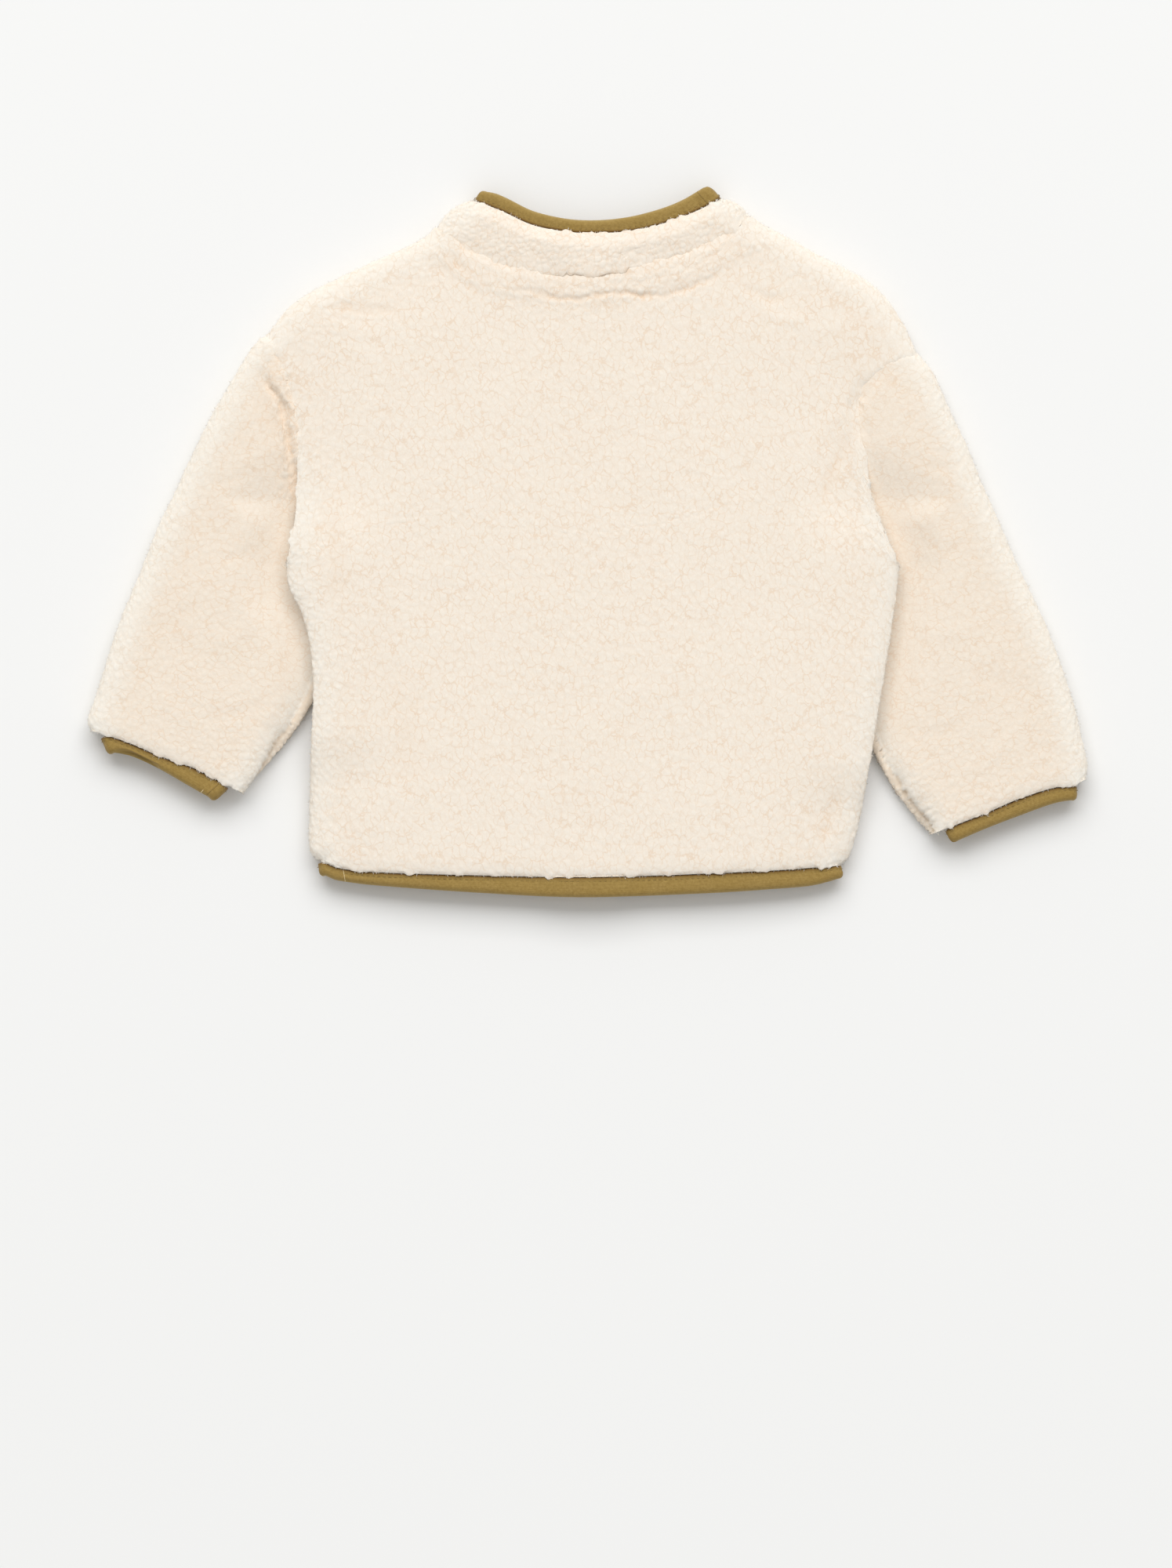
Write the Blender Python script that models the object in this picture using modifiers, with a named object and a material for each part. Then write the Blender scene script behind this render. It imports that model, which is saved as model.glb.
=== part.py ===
"""A baby's sherpa cardigan, laid flat on its front with its back up.

Frame: +Z is up from the surface that it lies on, +Y points to the collar and -X to the
wearer's left arm. The origin is on that surface, under the middle of the bounding box.

The garment is two layers deep everywhere. Above lies the back, below lie the two fronts,
the left one outermost, and each sleeve is a flattened tube. The sleeves swing down from
the shoulders, so that the underarm of each is tucked under the side of the body, which
rides up over it. All tables are in millimetres, seen from above.
"""

import math

import bmesh
import bpy
import numpy as np

MM = 0.001

# Cloth and trim
WALL = 8.0  # sherpa fleece: the knitted backing and the pile on it
SEAM_GAP = 0.3  # between pieces that are sewn to each other
ARMHOLE_GAP = 0.4
AIR = 2.2  # what stays between the back and the fronts in the middle
AIR_REACH = 55.0  # how far from a side the air is at its full height
OUTER_SEAM = 0.9  # wall left at a seam on the outline, where the pile turns round it
OUTER_ROUND = 12.0
INNER_SEAM = 5.0  # wall left at the armhole and neck seams
INNER_ROUND = 9.0
BOUND_EDGE = 5.5  # wall beside a binding
BOUND_ROUND = 8.0
TAPE = 5.0  # binding tape folded round the cloth's edge, over all
TAPE_CORNER = 1.8
TAPE_FOLD_STEPS = 4  # spans of the half turn where a binding goes round a side

# Front overlap, across the middle line x = 0
OVERLAP = 14.5  # from the middle to the edge of each front
FRONT_TAPE = 8.0
FRONT_CLOTH = OVERLAP - FRONT_TAPE - SEAM_GAP
PRESSED = 5.0  # each front's wall where the two lie on each other
PRESSED_FROM = 15.0
PRESSED_TO = 27.0
LIFT_OVER_FRONT = PRESSED + SEAM_GAP  # underside of the right front over the left

# Press studs on the middle line of the left front
STUD_RADIUS = 4.5
STUD_THICKNESS = 1.5
STUD_SIDES = 16
STUD_FIRST = 123.0
STUD_PITCH = 57.0
STUD_COUNT = 6
POCKET_DEPTH = 3.0
POCKET_ROOM = 0.4

# The side of the body lies this far up on a tucked sleeve
TUCK_LIFT = 8.0
TUCKED_WALL = 3.4  # the sleeve's wall under the body
TUCKED_AIR = 0.5
TUCK_SLOPE = 28.0  # from the body's side to the sleeve's full height
SLEEVE_AIR = 1.5
CUFF_TRIM = (6.0, 8.5)  # how much narrower the cuff's tape is, at its outer and inner end
UNDERARM_BLEND = 3.0  # power that keeps the underarm's swing near the underarm

# Ridge of the seam allowances, under the neck seam and beside the armhole seam
NECK_RIDGE = (3.0, 12.0, 1.2)  # from, to and height
NECK_CREASE = (14.0, 3.0, 1.6)  # place, half width and depth
ARM_RIDGE = (6.0, 4.0, 1.0)  # place, half width and height
ARM_CREASE = (12.0, 4.0, 1.6)

SAG = 3.0  # the back of the neck sinks where no front lies under it
SAG_CENTRE = (3.0, 172.0)
SAG_RADIUS = 32.0

# Outlines, as points (x, y) that a smooth curve passes through
SHOULDER_LEFT = ((-171, 111), (-160.7, 124.3), (-149.3, 132.7), (-136.3, 139.4),
                 (-121.2, 146.6), (-108.2, 152.5), (-92, 160), (-81, 167))
NECK_BACK = ((-81, 167), (-73, 162.5), (-66, 157.5), (-57, 152), (-46, 147.8),
             (-33, 144.9), (-14.5, 143), (4.4, 143), (24, 146), (45, 152), (66, 159.5),
             (79, 166.5), (87, 173))
SHOULDER_RIGHT = ((87, 173), (94, 169.5), (104.8, 163.8), (119.9, 155.4),
                  (134.6, 147.8), (149.7, 139.4), (160, 129.8), (169, 116.8),
                  (176.5, 100))
NECK_FRONT = ((-81, 167), (-76.5, 152), (-67.5, 136.5), (-56, 125), (-43, 117),
              (-27, 111.5), (0, 109), (27, 111.5), (45, 118), (59, 127), (71.5, 140),
              (81, 155.5), (87, 173))
ARMHOLE_LEFT = ((-171, 111), (-165.5, 97), (-160, 83), (-155.8, 62), (-154.4, 47),
                (-155.6, 29), (-156.4, 14), (-158.8, -1), (-161, -12.6))
ARMHOLE_RIGHT = ((176.5, 100), (167.5, 97), (155.5, 91.5), (147.5, 83), (144.8, 70),
                 (145.6, 60), (148, 46), (150.6, 28), (155.8, 11.5), (162, -2),
                 (166.5, -14.7))
SLEEVE_HEAD_LEFT = ARMHOLE_LEFT[:-2] + ((-156.4, 2), (-152.3, -10), (-146, -20.3))
SLEEVE_HEAD_RIGHT = ARMHOLE_RIGHT[:-2] + ((157.6, -1), (155.5, -13.5), (151, -24.3))
SIDE_LEFT = ((-161, -12.6), (-159.5, -25), (-153.2, -38), (-148.8, -54),
             (-146.8, -72), (-146.8, -90), (-148, -110), (-149, -148), (-149, -162),
             (-147.2, -168.6), (-142.6, -171.6))
SIDE_RIGHT = ((166.5, -14.7), (165.7, -24), (162.8, -46.6), (159.2, -69),
              (155.6, -91), (152.6, -110.5), (149.7, -127), (146, -148), (142.2, -163),
              (139.4, -170), (135, -173.8))
HEM = ((-142.6, -171.6), (-130, -175.8), (-104.8, -177.8), (-63, -179), (-12.4, -180),
       (30, -179.4), (63.2, -178.2), (105, -176.2), (135, -173.8))
HEM_EDGE = ((-138.6, -179), (-128, -182), (-113, -184), (-63, -187.7), (-4, -190.3),
            (63, -187.3), (105, -183.1), (130.2, -179.9))
COLLAR_TOP_BACK = ((-61.5, 182.6), (-46, 176.6), (-29.2, 169), (-10, 165.3),
                   (8.6, 164.8), (27.5, 166.4), (46.4, 171.8), (60, 177.4), (71, 183))
COLLAR_TOP_FRONT = ((-61.5, 182.6), (-56.5, 170), (-46.5, 156), (-31, 144.5),
                    (-12, 138.6), (0, 137.6), (12, 138.6), (34, 146), (53, 160),
                    (65, 172), (71, 183))
NECK_EDGE_BACK = ((-54.8, 186), (-41.8, 182.4), (-29.2, 176.6), (-12.4, 172.7),
                  (4.4, 171.8), (21.2, 173.4), (38, 177.4), (50.6, 181.8), (65.2, 187.3))
NECK_EDGE_FRONT = ((-54.8, 186), (-49.5, 173), (-40, 161), (-26.5, 151), (-10, 146.2),
                   (0, 145.6), (12, 146.2), (30, 152.5), (46, 164), (58, 175),
                   (65.2, 187.3))
SLEEVE_OUTER_LEFT = ((-171, 111), (-178.7, 105), (-194.7, 79.4), (-207.7, 55),
                     (-220.7, 26.9), (-230.5, 7), (-239.6, -16.4), (-252.6, -48.3),
                     (-263.5, -83), (-267.8, -96), (-266, -101.5))
SLEEVE_INNER_LEFT = ((-146.3, -20.5), (-141.5, -33), (-138.8, -48), (-140, -66),
                     (-148, -88), (-163, -109.5), (-178, -127), (-184.5, -135))
SLEEVE_OUTER_RIGHT = ((176.5, 100), (185.4, 90.3), (194.7, 69), (204.3, 49),
                      (212, 29.5), (219.5, 13), (230.4, -12.6), (245.5, -44.5),
                      (258.5, -80.2), (264.4, -103), (267.8, -119), (267, -127.5))
SLEEVE_INNER_RIGHT = ((151.3, -24.6), (147.2, -38), (145, -54), (144.5, -72),
                      (146.5, -90), (151, -107), (160, -126), (171.5, -143), (184, -157))
CUFF_LEFT = ((-266, -101.5), (-258, -103.8), (-244.5, -108.6), (-227.4, -115.8),
             (-211, -121.6), (-197, -128.6), (-184.5, -135))
CUFF_EDGE_LEFT = ((-256.5, -113), (-244.5, -115.2), (-230, -121.8), (-214, -131),
                  (-200.5, -138.6))
CUFF_RIGHT = ((267, -127.5), (260, -130.8), (249, -132.4), (231.4, -138),
              (213.7, -145.6), (197, -152.2), (184, -157))
CUFF_EDGE_RIGHT = ((261.5, -138.6), (250, -140.6), (231.4, -147.2), (213.7, -154),
                   (196, -161.6))

# Where the grid of each panel has its rows and columns
ARM_ROWS = (0, 3, 8, 13, 20, 32, 46, 60, 76, 92, 105, 114, 119)  # down the armhole
ARM_LENGTH = 126.0
SIDE_ROWS = (4, 9, 18, 32, 50, 70, 92, 113, 131, 144, 153, 160)  # down the side
SIDE_LENGTH = 166.0
NECK_FREE_ROW = 8  # the fronts' rows above this one are fitted under the neckline
FLANK = (0, 0.014, 0.035, 0.07, 0.13, 0.23, 0.36, 0.5, 0.625, 0.66, 0.72, 0.8, 0.9)
MIDDLE = (-PRESSED_TO, -PRESSED_FROM, -FRONT_CLOTH, FRONT_CLOTH, PRESSED_FROM,
          PRESSED_TO)
FLANK_OF_NECK = 8  # the column that ends in the neck corner
SLEEVE_ROWS = (0, 3, 6, 12, 18, 30, 52, 78, 104, 130, 154, 174, 190, 200, 208, 212)
UNDERARM_ROWS = (12.0, 5.5, 0.0)  # more of a sleeve's columns, from the underarm
COLLAR_ROWS = (0.0, 0.14, 0.32, 0.62, 0.86, 1.0)
COLLAR_TURN = (0.45,)  # extra stations between the last column and the neck corner
COLLAR_HOLLOW = 1.4  # from the fold at the collar's side to the hollow in it
COLLAR_BULGE = 3.2  # how far the collar's sides curve out of a straight line
COLLAR_BULGE_REACH = 16.0

COLOURS = {  # sRGB and roughness
    "sherpa": ((0.953, 0.910, 0.847), 0.95),
    "tape": ((0.560, 0.470, 0.220), 0.80),
    "stud": ((0.560, 0.480, 0.290), 0.45),
}


def smooth(points, per_span=12):
    """A Catmull-Rom curve through the points, as a dense polyline."""
    p = np.array(points, float)
    p = np.vstack([2 * p[0] - p[1], p, 2 * p[-1] - p[-2]])
    t = np.linspace(0, 1, per_span, endpoint=False)[:, None]
    a, b, c, d = p[:-3, None], p[1:-2, None], p[2:-1, None], p[3:, None]
    span = (2 * b + (c - a) * t + (2 * a - 5 * b + 4 * c - d) * t**2
            + (3 * b - a - 3 * c + d) * t**3) / 2
    return np.vstack([span.reshape(-1, 2), p[-2]])


def length_of(line):
    return np.linalg.norm(np.diff(line, axis=0), axis=1).sum()


def along(line, shares):
    """Points at these shares of a polyline's length."""
    steps = np.linalg.norm(np.diff(line, axis=0), axis=1)
    run = np.concatenate([[0], np.cumsum(steps)]) / steps.sum()
    return np.column_stack([np.interp(shares, run, line[:, k]) for k in (0, 1)])


def trimmed(line, first, last):
    """A polyline without its first and last stretch, in millimetres."""
    length = length_of(line)
    return along(line, np.linspace(first / length, 1 - last / length, 240))


def at_x(line, x):
    """The polyline's y at x."""
    order = np.argsort(line[:, 0])
    return np.interp(x, line[order, 0], line[order, 1])


def distance(points, line):
    """Distance from each plan point to a polyline."""
    a, b = line[:-1], line[1:]
    p = np.asarray(points, float).reshape(-1, 1, 2)
    along_it = ((p - a) * (b - a)).sum(2) / np.maximum(((b - a) ** 2).sum(1), 1e-9)
    foot = a + np.clip(along_it, 0, 1)[..., None] * (b - a)
    near = np.linalg.norm(p - foot, axis=2).min(1)
    return near.reshape(np.shape(points)[:-1])


def ramp(value, start, end):
    """0 before start and 1 after end, smooth between. End may be below start."""
    t = np.clip((value - start) / (end - start), 0, 1)
    return t * t * (3 - 2 * t)


def rounded(away, reach, low, high):
    """Height of a wall that rounds from high down to low at its edge."""
    t = 1 - np.clip(away / reach, 0, 1)
    return low + (high - low) * np.sqrt(1 - t * t)


def bump(value, place, half_width):
    """A smooth bump of height 1 around a place."""
    t = np.clip(np.abs(value - place) / half_width, 0, 1)
    return (1 - t * t) ** 2


LINES = {name: smooth(points) for name, points in {
    "shoulder_left": SHOULDER_LEFT, "shoulder_right": SHOULDER_RIGHT,
    "neck_back": NECK_BACK, "neck_front": NECK_FRONT,
    "armhole_left": ARMHOLE_LEFT, "armhole_right": ARMHOLE_RIGHT,
    "head_left": SLEEVE_HEAD_LEFT, "head_right": SLEEVE_HEAD_RIGHT,
    "side_left": SIDE_LEFT, "side_right": SIDE_RIGHT,
    "hem": HEM, "hem_edge": HEM_EDGE,
    "collar_top_back": COLLAR_TOP_BACK, "collar_top_front": COLLAR_TOP_FRONT,
    "neck_edge_back": NECK_EDGE_BACK, "neck_edge_front": NECK_EDGE_FRONT,
    "outer_left": SLEEVE_OUTER_LEFT, "outer_right": SLEEVE_OUTER_RIGHT,
    "inner_left": SLEEVE_INNER_LEFT, "inner_right": SLEEVE_INNER_RIGHT,
    "cuff_left": CUFF_LEFT, "cuff_right": CUFF_RIGHT,
    "cuff_edge_left": CUFF_EDGE_LEFT, "cuff_edge_right": CUFF_EDGE_RIGHT,
}.items()}
COLLAR_FOLD_LEFT = np.array([NECK_BACK[0], COLLAR_TOP_BACK[0]], float)
COLLAR_FOLD_RIGHT = np.array([NECK_BACK[-1], COLLAR_TOP_BACK[-1]], float)
OUTLINE = [LINES[n] for n in ("shoulder_left", "shoulder_right", "side_left",
                              "side_right")]
ARMHOLES = [LINES["armhole_left"], LINES["armhole_right"]]


def nearest(points, lines):
    return np.min([distance(points, line) for line in lines], axis=0)


def tuck_lift(p):
    """How high the body lies on the tucked sleeves at plan points p."""
    x, y = p[..., 0], p[..., 1]
    left = ramp(x, -98, -133) * ramp(y, 45, 2) * ramp(y, -132, -100)
    right = ramp(x, 100, 137) * ramp(y, 45, 2) * ramp(y, -148, -116)
    return TUCK_LIFT * (left + right)


def overlap_rise(x):
    """How far the right front rises where it lies on the left one."""
    return (LIFT_OVER_FRONT + PRESSED - WALL) * np.interp(
        np.abs(x), [PRESSED_FROM, PRESSED_TO], [1, 0])


def front_top(p):
    """Height of the fronts' inner face, on which the back lies."""
    return tuck_lift(p) + WALL + overlap_rise(p[..., 0])


def left_front_top(p):
    """Inner face of the left front, which goes under the right one."""
    pressed = np.interp(p[..., 0], [-PRESSED_TO, -PRESSED_FROM], [WALL, PRESSED])
    return tuck_lift(p) + pressed


def right_front_wall(x):
    """Wall of the right front, pressed where it lies on the left one."""
    underside = np.interp(x, [PRESSED_FROM, PRESSED_TO], [LIFT_OVER_FRONT, 0])
    return WALL + overlap_rise(x) - underside


def back_base(p):
    """Height of the back's inner face."""
    sides = nearest(p, OUTLINE + ARMHOLES + [COLLAR_FOLD_LEFT, COLLAR_FOLD_RIGHT])
    sunk = bump(np.hypot(p[..., 0] - SAG_CENTRE[0], p[..., 1] - SAG_CENTRE[1]), 0,
                SAG_RADIUS)
    return (front_top(p) + SEAM_GAP + AIR * ramp(sides, 0, AIR_REACH)
            - SAG * sunk)


def body_wall(p, neck):
    """Thickness of a body panel at plan points p, given its neck seam."""
    return np.min([
        rounded(nearest(p, OUTLINE), OUTER_ROUND, OUTER_SEAM, WALL),
        rounded(nearest(p, ARMHOLES), INNER_ROUND, INNER_SEAM, WALL),
        rounded(distance(p, neck), INNER_ROUND, INNER_SEAM, WALL),
        rounded(distance(p, LINES["hem"]), BOUND_ROUND, BOUND_EDGE, WALL),
    ], axis=0)


def body_grid():
    """Plan points of the body: rows from shoulder to hem, columns from left to right."""
    arm = np.array(ARM_ROWS + (ARM_LENGTH,)) / ARM_LENGTH
    side = np.array(SIDE_ROWS + (SIDE_LENGTH,)) / SIDE_LENGTH
    left = np.vstack([along(LINES["armhole_left"], arm),
                      along(LINES["side_left"], side)])
    right = np.vstack([along(LINES["armhole_right"], arm),
                       along(LINES["side_right"], side)])
    down = np.array(ARM_ROWS + (ARM_LENGTH,)
                    + tuple(ARM_LENGTH + s for s in SIDE_ROWS + (SIDE_LENGTH,)))
    down = (down / down[-1])[:, None]
    flank = np.array(FLANK)
    edge = MIDDLE[-1]
    x = np.hstack([left[:, :1] + (-edge - left[:, :1]) * flank,
                   np.tile(MIDDLE, (len(left), 1)),
                   right[:, :1] + (edge - right[:, :1]) * flank[::-1]])
    top_line = np.vstack([LINES[n] for n in ("shoulder_left", "neck_back",
                                             "shoulder_right")])
    top, bottom = at_x(top_line, x[0]), at_x(LINES["hem"], x[-1])
    plain = (1 - down) * top + down * bottom
    share = (x - x[:, :1]) / (x[:, -1:] - x[:, :1])
    y = (plain + (1 - share) * (left[:, 1:] - plain[:, :1])
         + share * (right[:, 1:] - plain[:, -1:]))
    return np.dstack([x, y])


def under_neckline(grid):
    """The body's grid with the rows above NECK_FREE_ROW fitted under the front neck."""
    fitted = grid.copy()
    inside = slice(FLANK_OF_NECK, grid.shape[1] - FLANK_OF_NECK)
    rows = np.arange(NECK_FREE_ROW)[:, None] / NECK_FREE_ROW
    top = at_x(LINES["neck_front"], grid[0, inside, 0])
    low = grid[NECK_FREE_ROW, inside, 1]
    fitted[:NECK_FREE_ROW, inside, 1] = top + (low - top) * rows
    straight = grid[0, inside, 0] + (grid[NECK_FREE_ROW, inside, 0]
                                     - grid[0, inside, 0]) * rows
    fitted[:NECK_FREE_ROW, inside, 0] = straight
    return fitted


def solid(points, faces, name, material):
    """One named object from points in millimetres."""
    mesh = bpy.data.meshes.new(name)
    mesh.from_pydata([tuple(p) for p in np.asarray(points) * MM], [], faces)
    mesh.materials.append(material)
    shell = bmesh.new()
    shell.from_mesh(mesh)
    bmesh.ops.recalc_face_normals(shell, faces=shell.faces)
    shell.to_mesh(mesh)
    shell.free()
    mesh.shade_smooth()
    mesh.set_sharp_from_angle(angle=math.radians(50))
    made = bpy.data.objects.new(name, mesh)
    garment.objects.link(made)
    return made


def cells(rows, columns, closed, flipped):
    """Triangles of a grid of points numbered row by row, split the same way each time."""
    faces = []
    for i in range(rows - 1):
        for j in range(columns if closed else columns - 1):
            k = (j + 1) % columns
            a, b = i * columns + j, i * columns + k
            c, d = b + columns, a + columns
            faces += [(a, c, b), (a, d, c)] if flipped else [(a, b, c), (a, c, d)]
    return faces


def wall(name, upper, lower, material, closed=False):
    """A cloth wall between two grids of points, rows by columns by 3.

    Upper is the face whose rows and columns turn clockwise seen from outside. With
    closed, the columns go round a tube, and only its two ends get a rim.
    """
    rows, columns = upper.shape[:2]
    count = rows * columns
    faces = cells(rows, columns, closed, True)
    faces += [tuple(count + v for v in f) for f in cells(rows, columns, closed, False)]
    ring = [(0, j) for j in range(columns)]
    if closed:
        rims = [ring + ring[:1], [(rows - 1, j) for _, j in (ring + ring[:1])[::-1]]]
    else:
        ring += [(i, columns - 1) for i in range(1, rows)]
        ring += [(rows - 1, j) for j in range(columns - 2, -1, -1)]
        ring += [(i, 0) for i in range(rows - 2, -1, -1)]
        rims = [ring]
    for rim in rims:
        for (i, j), (k, m) in zip(rim[:-1], rim[1:]):
            a, b = i * columns + j, k * columns + m
            faces += [(a, b, b + count), (a, b + count, a + count)]
    points = np.vstack([upper.reshape(-1, 3), lower.reshape(-1, 3)])
    return solid(points, faces, name, material)


def strip(name, sections, material, closed=False):
    """A solid through sections, an array of sections by points by 3."""
    rows, columns = sections.shape[:2]
    if closed:
        sections = np.concatenate([sections, sections[:1]])
        rows += 1
    faces = cells(rows, columns, True, False)
    if closed:
        last = (rows - 1) * columns
        faces = [tuple(v - last if v >= last else v for v in f) for f in faces]
        sections = sections[:-1]
    else:
        faces.append(tuple(range(columns))[::-1])
        faces.append(tuple(range((rows - 1) * columns, rows * columns)))
    return solid(sections.reshape(-1, 3), faces, name, material)


def raised(plan, height):
    return np.dstack([plan, height])


def tape_sections(root, edge, middle, up):
    """Sections of a folded tape.

    Root is where it meets the cloth and edge its outer edge, in plan. Middle is the
    height of its middle and up the unit vector across its thickness.
    """
    out = edge - root
    width = np.linalg.norm(out, axis=1)[:, None, None]
    out = np.column_stack([out, np.zeros(len(out))])[:, None] / width
    half, corner, near = TAPE / 2, TAPE_CORNER, 0.3 * TAPE_CORNER
    profile = np.array([  # back from the outer edge, and up from the middle
        (None, -half), (corner, -half), (near, near - half), (0, corner - half),
        (0, half - corner), (near, half - near), (corner, half), (None, half)],
        dtype=object)
    at_root = np.array([p is None for p in profile[:, 0]])
    back = np.where(at_root, 0, profile[:, 0]).astype(float)[None, :, None]
    across = np.where(at_root[None, :, None], 0, width - back)
    start = np.column_stack([root, middle])[:, None]
    return start + out * across + up[:, None] * profile[:, 1].astype(float)[:, None]


def flat_tape(root, edge, middle, facing):
    """Sections of a tape that lies flat, facing up (1) or down (-1)."""
    up = np.tile([0, 0, float(facing)], (len(root), 1))
    return tape_sections(root, edge, middle, up)


def tape_turn(low_end, high_end, corner):
    """Sections where a tape turns round a side, from the lower run to the upper one.

    Each end is a run's last root point, edge point and height, and the corner is the
    plan point that the turn bulges towards.
    """
    turn = np.radians(np.linspace(-90, 90, TAPE_FOLD_STEPS + 2)[1:-1])[:, None]
    share = (np.sin(turn) + 1) / 2
    root, edge, middle = (np.asarray(low) + share * (np.asarray(high) - low)
                          for low, high in zip(low_end, high_end))
    out = edge - root
    away = np.column_stack([-out[:, 1], out[:, 0]])
    away /= np.linalg.norm(away, axis=1)[:, None]
    away *= np.sign(((corner - root) * away).sum(1))[:, None]
    shift = (high_end[2] - low_end[2]) / 2 * np.cos(turn) * away
    up = np.column_stack([np.cos(turn) * away, np.sin(turn)])
    return tape_sections(root + shift, edge + shift, middle[:, 0], up)


def tape_run(root_line, edge_line, columns):
    """Root and edge points of a tape at its two ends and the columns between them."""
    first, last = root_line[[0, -1], 0]
    inside = columns[(columns > first + 0.2) & (columns < last - 0.2)]
    x = np.concatenate([[first], inside, [last]])
    edge_x = np.interp(x, [first, -PRESSED_TO, PRESSED_TO, last],
                       [edge_line[0, 0], -PRESSED_TO, PRESSED_TO, edge_line[-1, 0]])
    root = np.column_stack([x, at_x(root_line, x)])
    edge = np.column_stack([edge_x, at_x(edge_line, edge_x)])
    out = (edge - root) / np.linalg.norm(edge - root, axis=1)[:, None]
    return root + SEAM_GAP * out, edge


def folded_tape(name, back_run, front_runs, corners, material):
    """A tape along the back and, folded at both sides, along the two fronts."""
    root, edge = back_run
    heights = back_base(root) + TAPE / 2
    upper = flat_tape(root, edge, heights, 1)
    lower, turns = {}, {}
    for side, k, level in (("left", 0, left_front_top), ("right", -1, front_top)):
        low_root, low_edge = front_runs[side]
        low_heights = level(low_root) - TAPE / 2
        lower[side] = flat_tape(low_root, low_edge, low_heights, -1)
        turns[side] = tape_turn((low_root[k], low_edge[k], low_heights[k]),
                                (root[k], edge[k], heights[k]), corners[side])
    ring = np.concatenate([lower["left"][::-1], turns["left"], upper,
                           turns["right"][::-1], lower["right"][::-1]])
    return strip(name, ring, material)


def make_back(grid, material):
    """The back, whose seam allowance makes a ridge under the neck seam."""
    neck_away = distance(grid, LINES["neck_back"])
    start, end, height = NECK_RIDGE
    place, half_width, depth = NECK_CREASE
    base, thickness = back_base(grid), body_wall(grid, LINES["neck_back"])
    thickness += height * ramp(neck_away, 0, start) * ramp(neck_away, end + 2, end)
    thickness -= depth * bump(neck_away, place, half_width)
    return wall("back", raised(grid, base + thickness), raised(grid, base), material)


def make_fronts(grid, sherpa):
    """The two fronts, the right one over the left one at the middle."""
    grid = under_neckline(grid)
    middle = len(FLANK)
    left, right = grid[:, :middle + 4], grid[:, middle + 2:]
    thickness = body_wall(left, LINES["neck_front"])
    top = left_front_top(left)
    thickness = np.minimum(thickness, top - tuck_lift(left))
    wall("front_left", raised(left, top), raised(left, top - thickness), sherpa)
    thickness = body_wall(right, LINES["neck_front"])
    thickness = np.minimum(thickness, right_front_wall(right[..., 0]))
    top = front_top(right)
    wall("front_right", raised(right, top), raised(right, top - thickness), sherpa)


def sleeve_columns(side):
    """Where a sleeve's columns start, as shares of the sleeve head's length."""
    length, scale = (length_of(LINES[f"{part}_{side}"]) for part in ("head", "armhole"))
    rows = np.array(ARM_ROWS) * scale / ARM_LENGTH
    return np.concatenate([rows, length - np.array(UNDERARM_ROWS)]) / length


def sleeve_plan(side):
    """Plan points of a sleeve: rows from armhole to cuff, columns from outer to inner."""
    down, across = np.array(SLEEVE_ROWS) / SLEEVE_ROWS[-1], sleeve_columns(side)
    outer, inner = (along(LINES[f"{part}_{side}"], down) for part in ("outer", "inner"))
    head = along(LINES[f"head_{side}"], across)
    head += ARMHOLE_GAP * outward(head, outer[4])
    cuff = along(LINES[f"cuff_{side}"], across)
    u, v = across[None, :, None], down[:, None, None]
    w = u ** UNDERARM_BLEND
    corners = ((1 - v) * ((1 - w) * head[0] + w * head[-1])
               + v * ((1 - w) * cuff[0] + w * cuff[-1]))
    inner[0], outer[0] = head[-1], head[0]
    return ((1 - v) * head + v * cuff + (1 - w) * outer[:, None]
            + w * inner[:, None] - corners)


def outward(line, towards):
    """Unit normals of a polyline on the side of a point."""
    along_it = np.gradient(line, axis=0)
    normal = np.column_stack([-along_it[:, 1], along_it[:, 0]])
    normal /= np.linalg.norm(normal, axis=1)[:, None]
    side = ((towards - line) * normal).sum(1)
    return normal * np.sign(np.median(side))


def sleeve_squash(p, side):
    """0 where a sleeve is at its full height and 1 where the body lies on it."""
    tuck = np.vstack([LINES[f"armhole_{side}"], LINES[f"side_{side}"]])
    low = -100 if side == "left" else -122
    tuck = tuck[(tuck[:, 1] < 8) & (tuck[:, 1] > low)]
    x = np.abs(p[..., 0])
    under = x < np.abs(np.interp(p[..., 1], tuck[::-1, 1], tuck[::-1, 0]))
    under &= (p[..., 1] < tuck[0, 1]) & (p[..., 1] > low - 12)
    away = np.where(under, 0, distance(p, tuck))
    return ramp(away, TUCK_SLOPE, 1.0)


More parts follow.
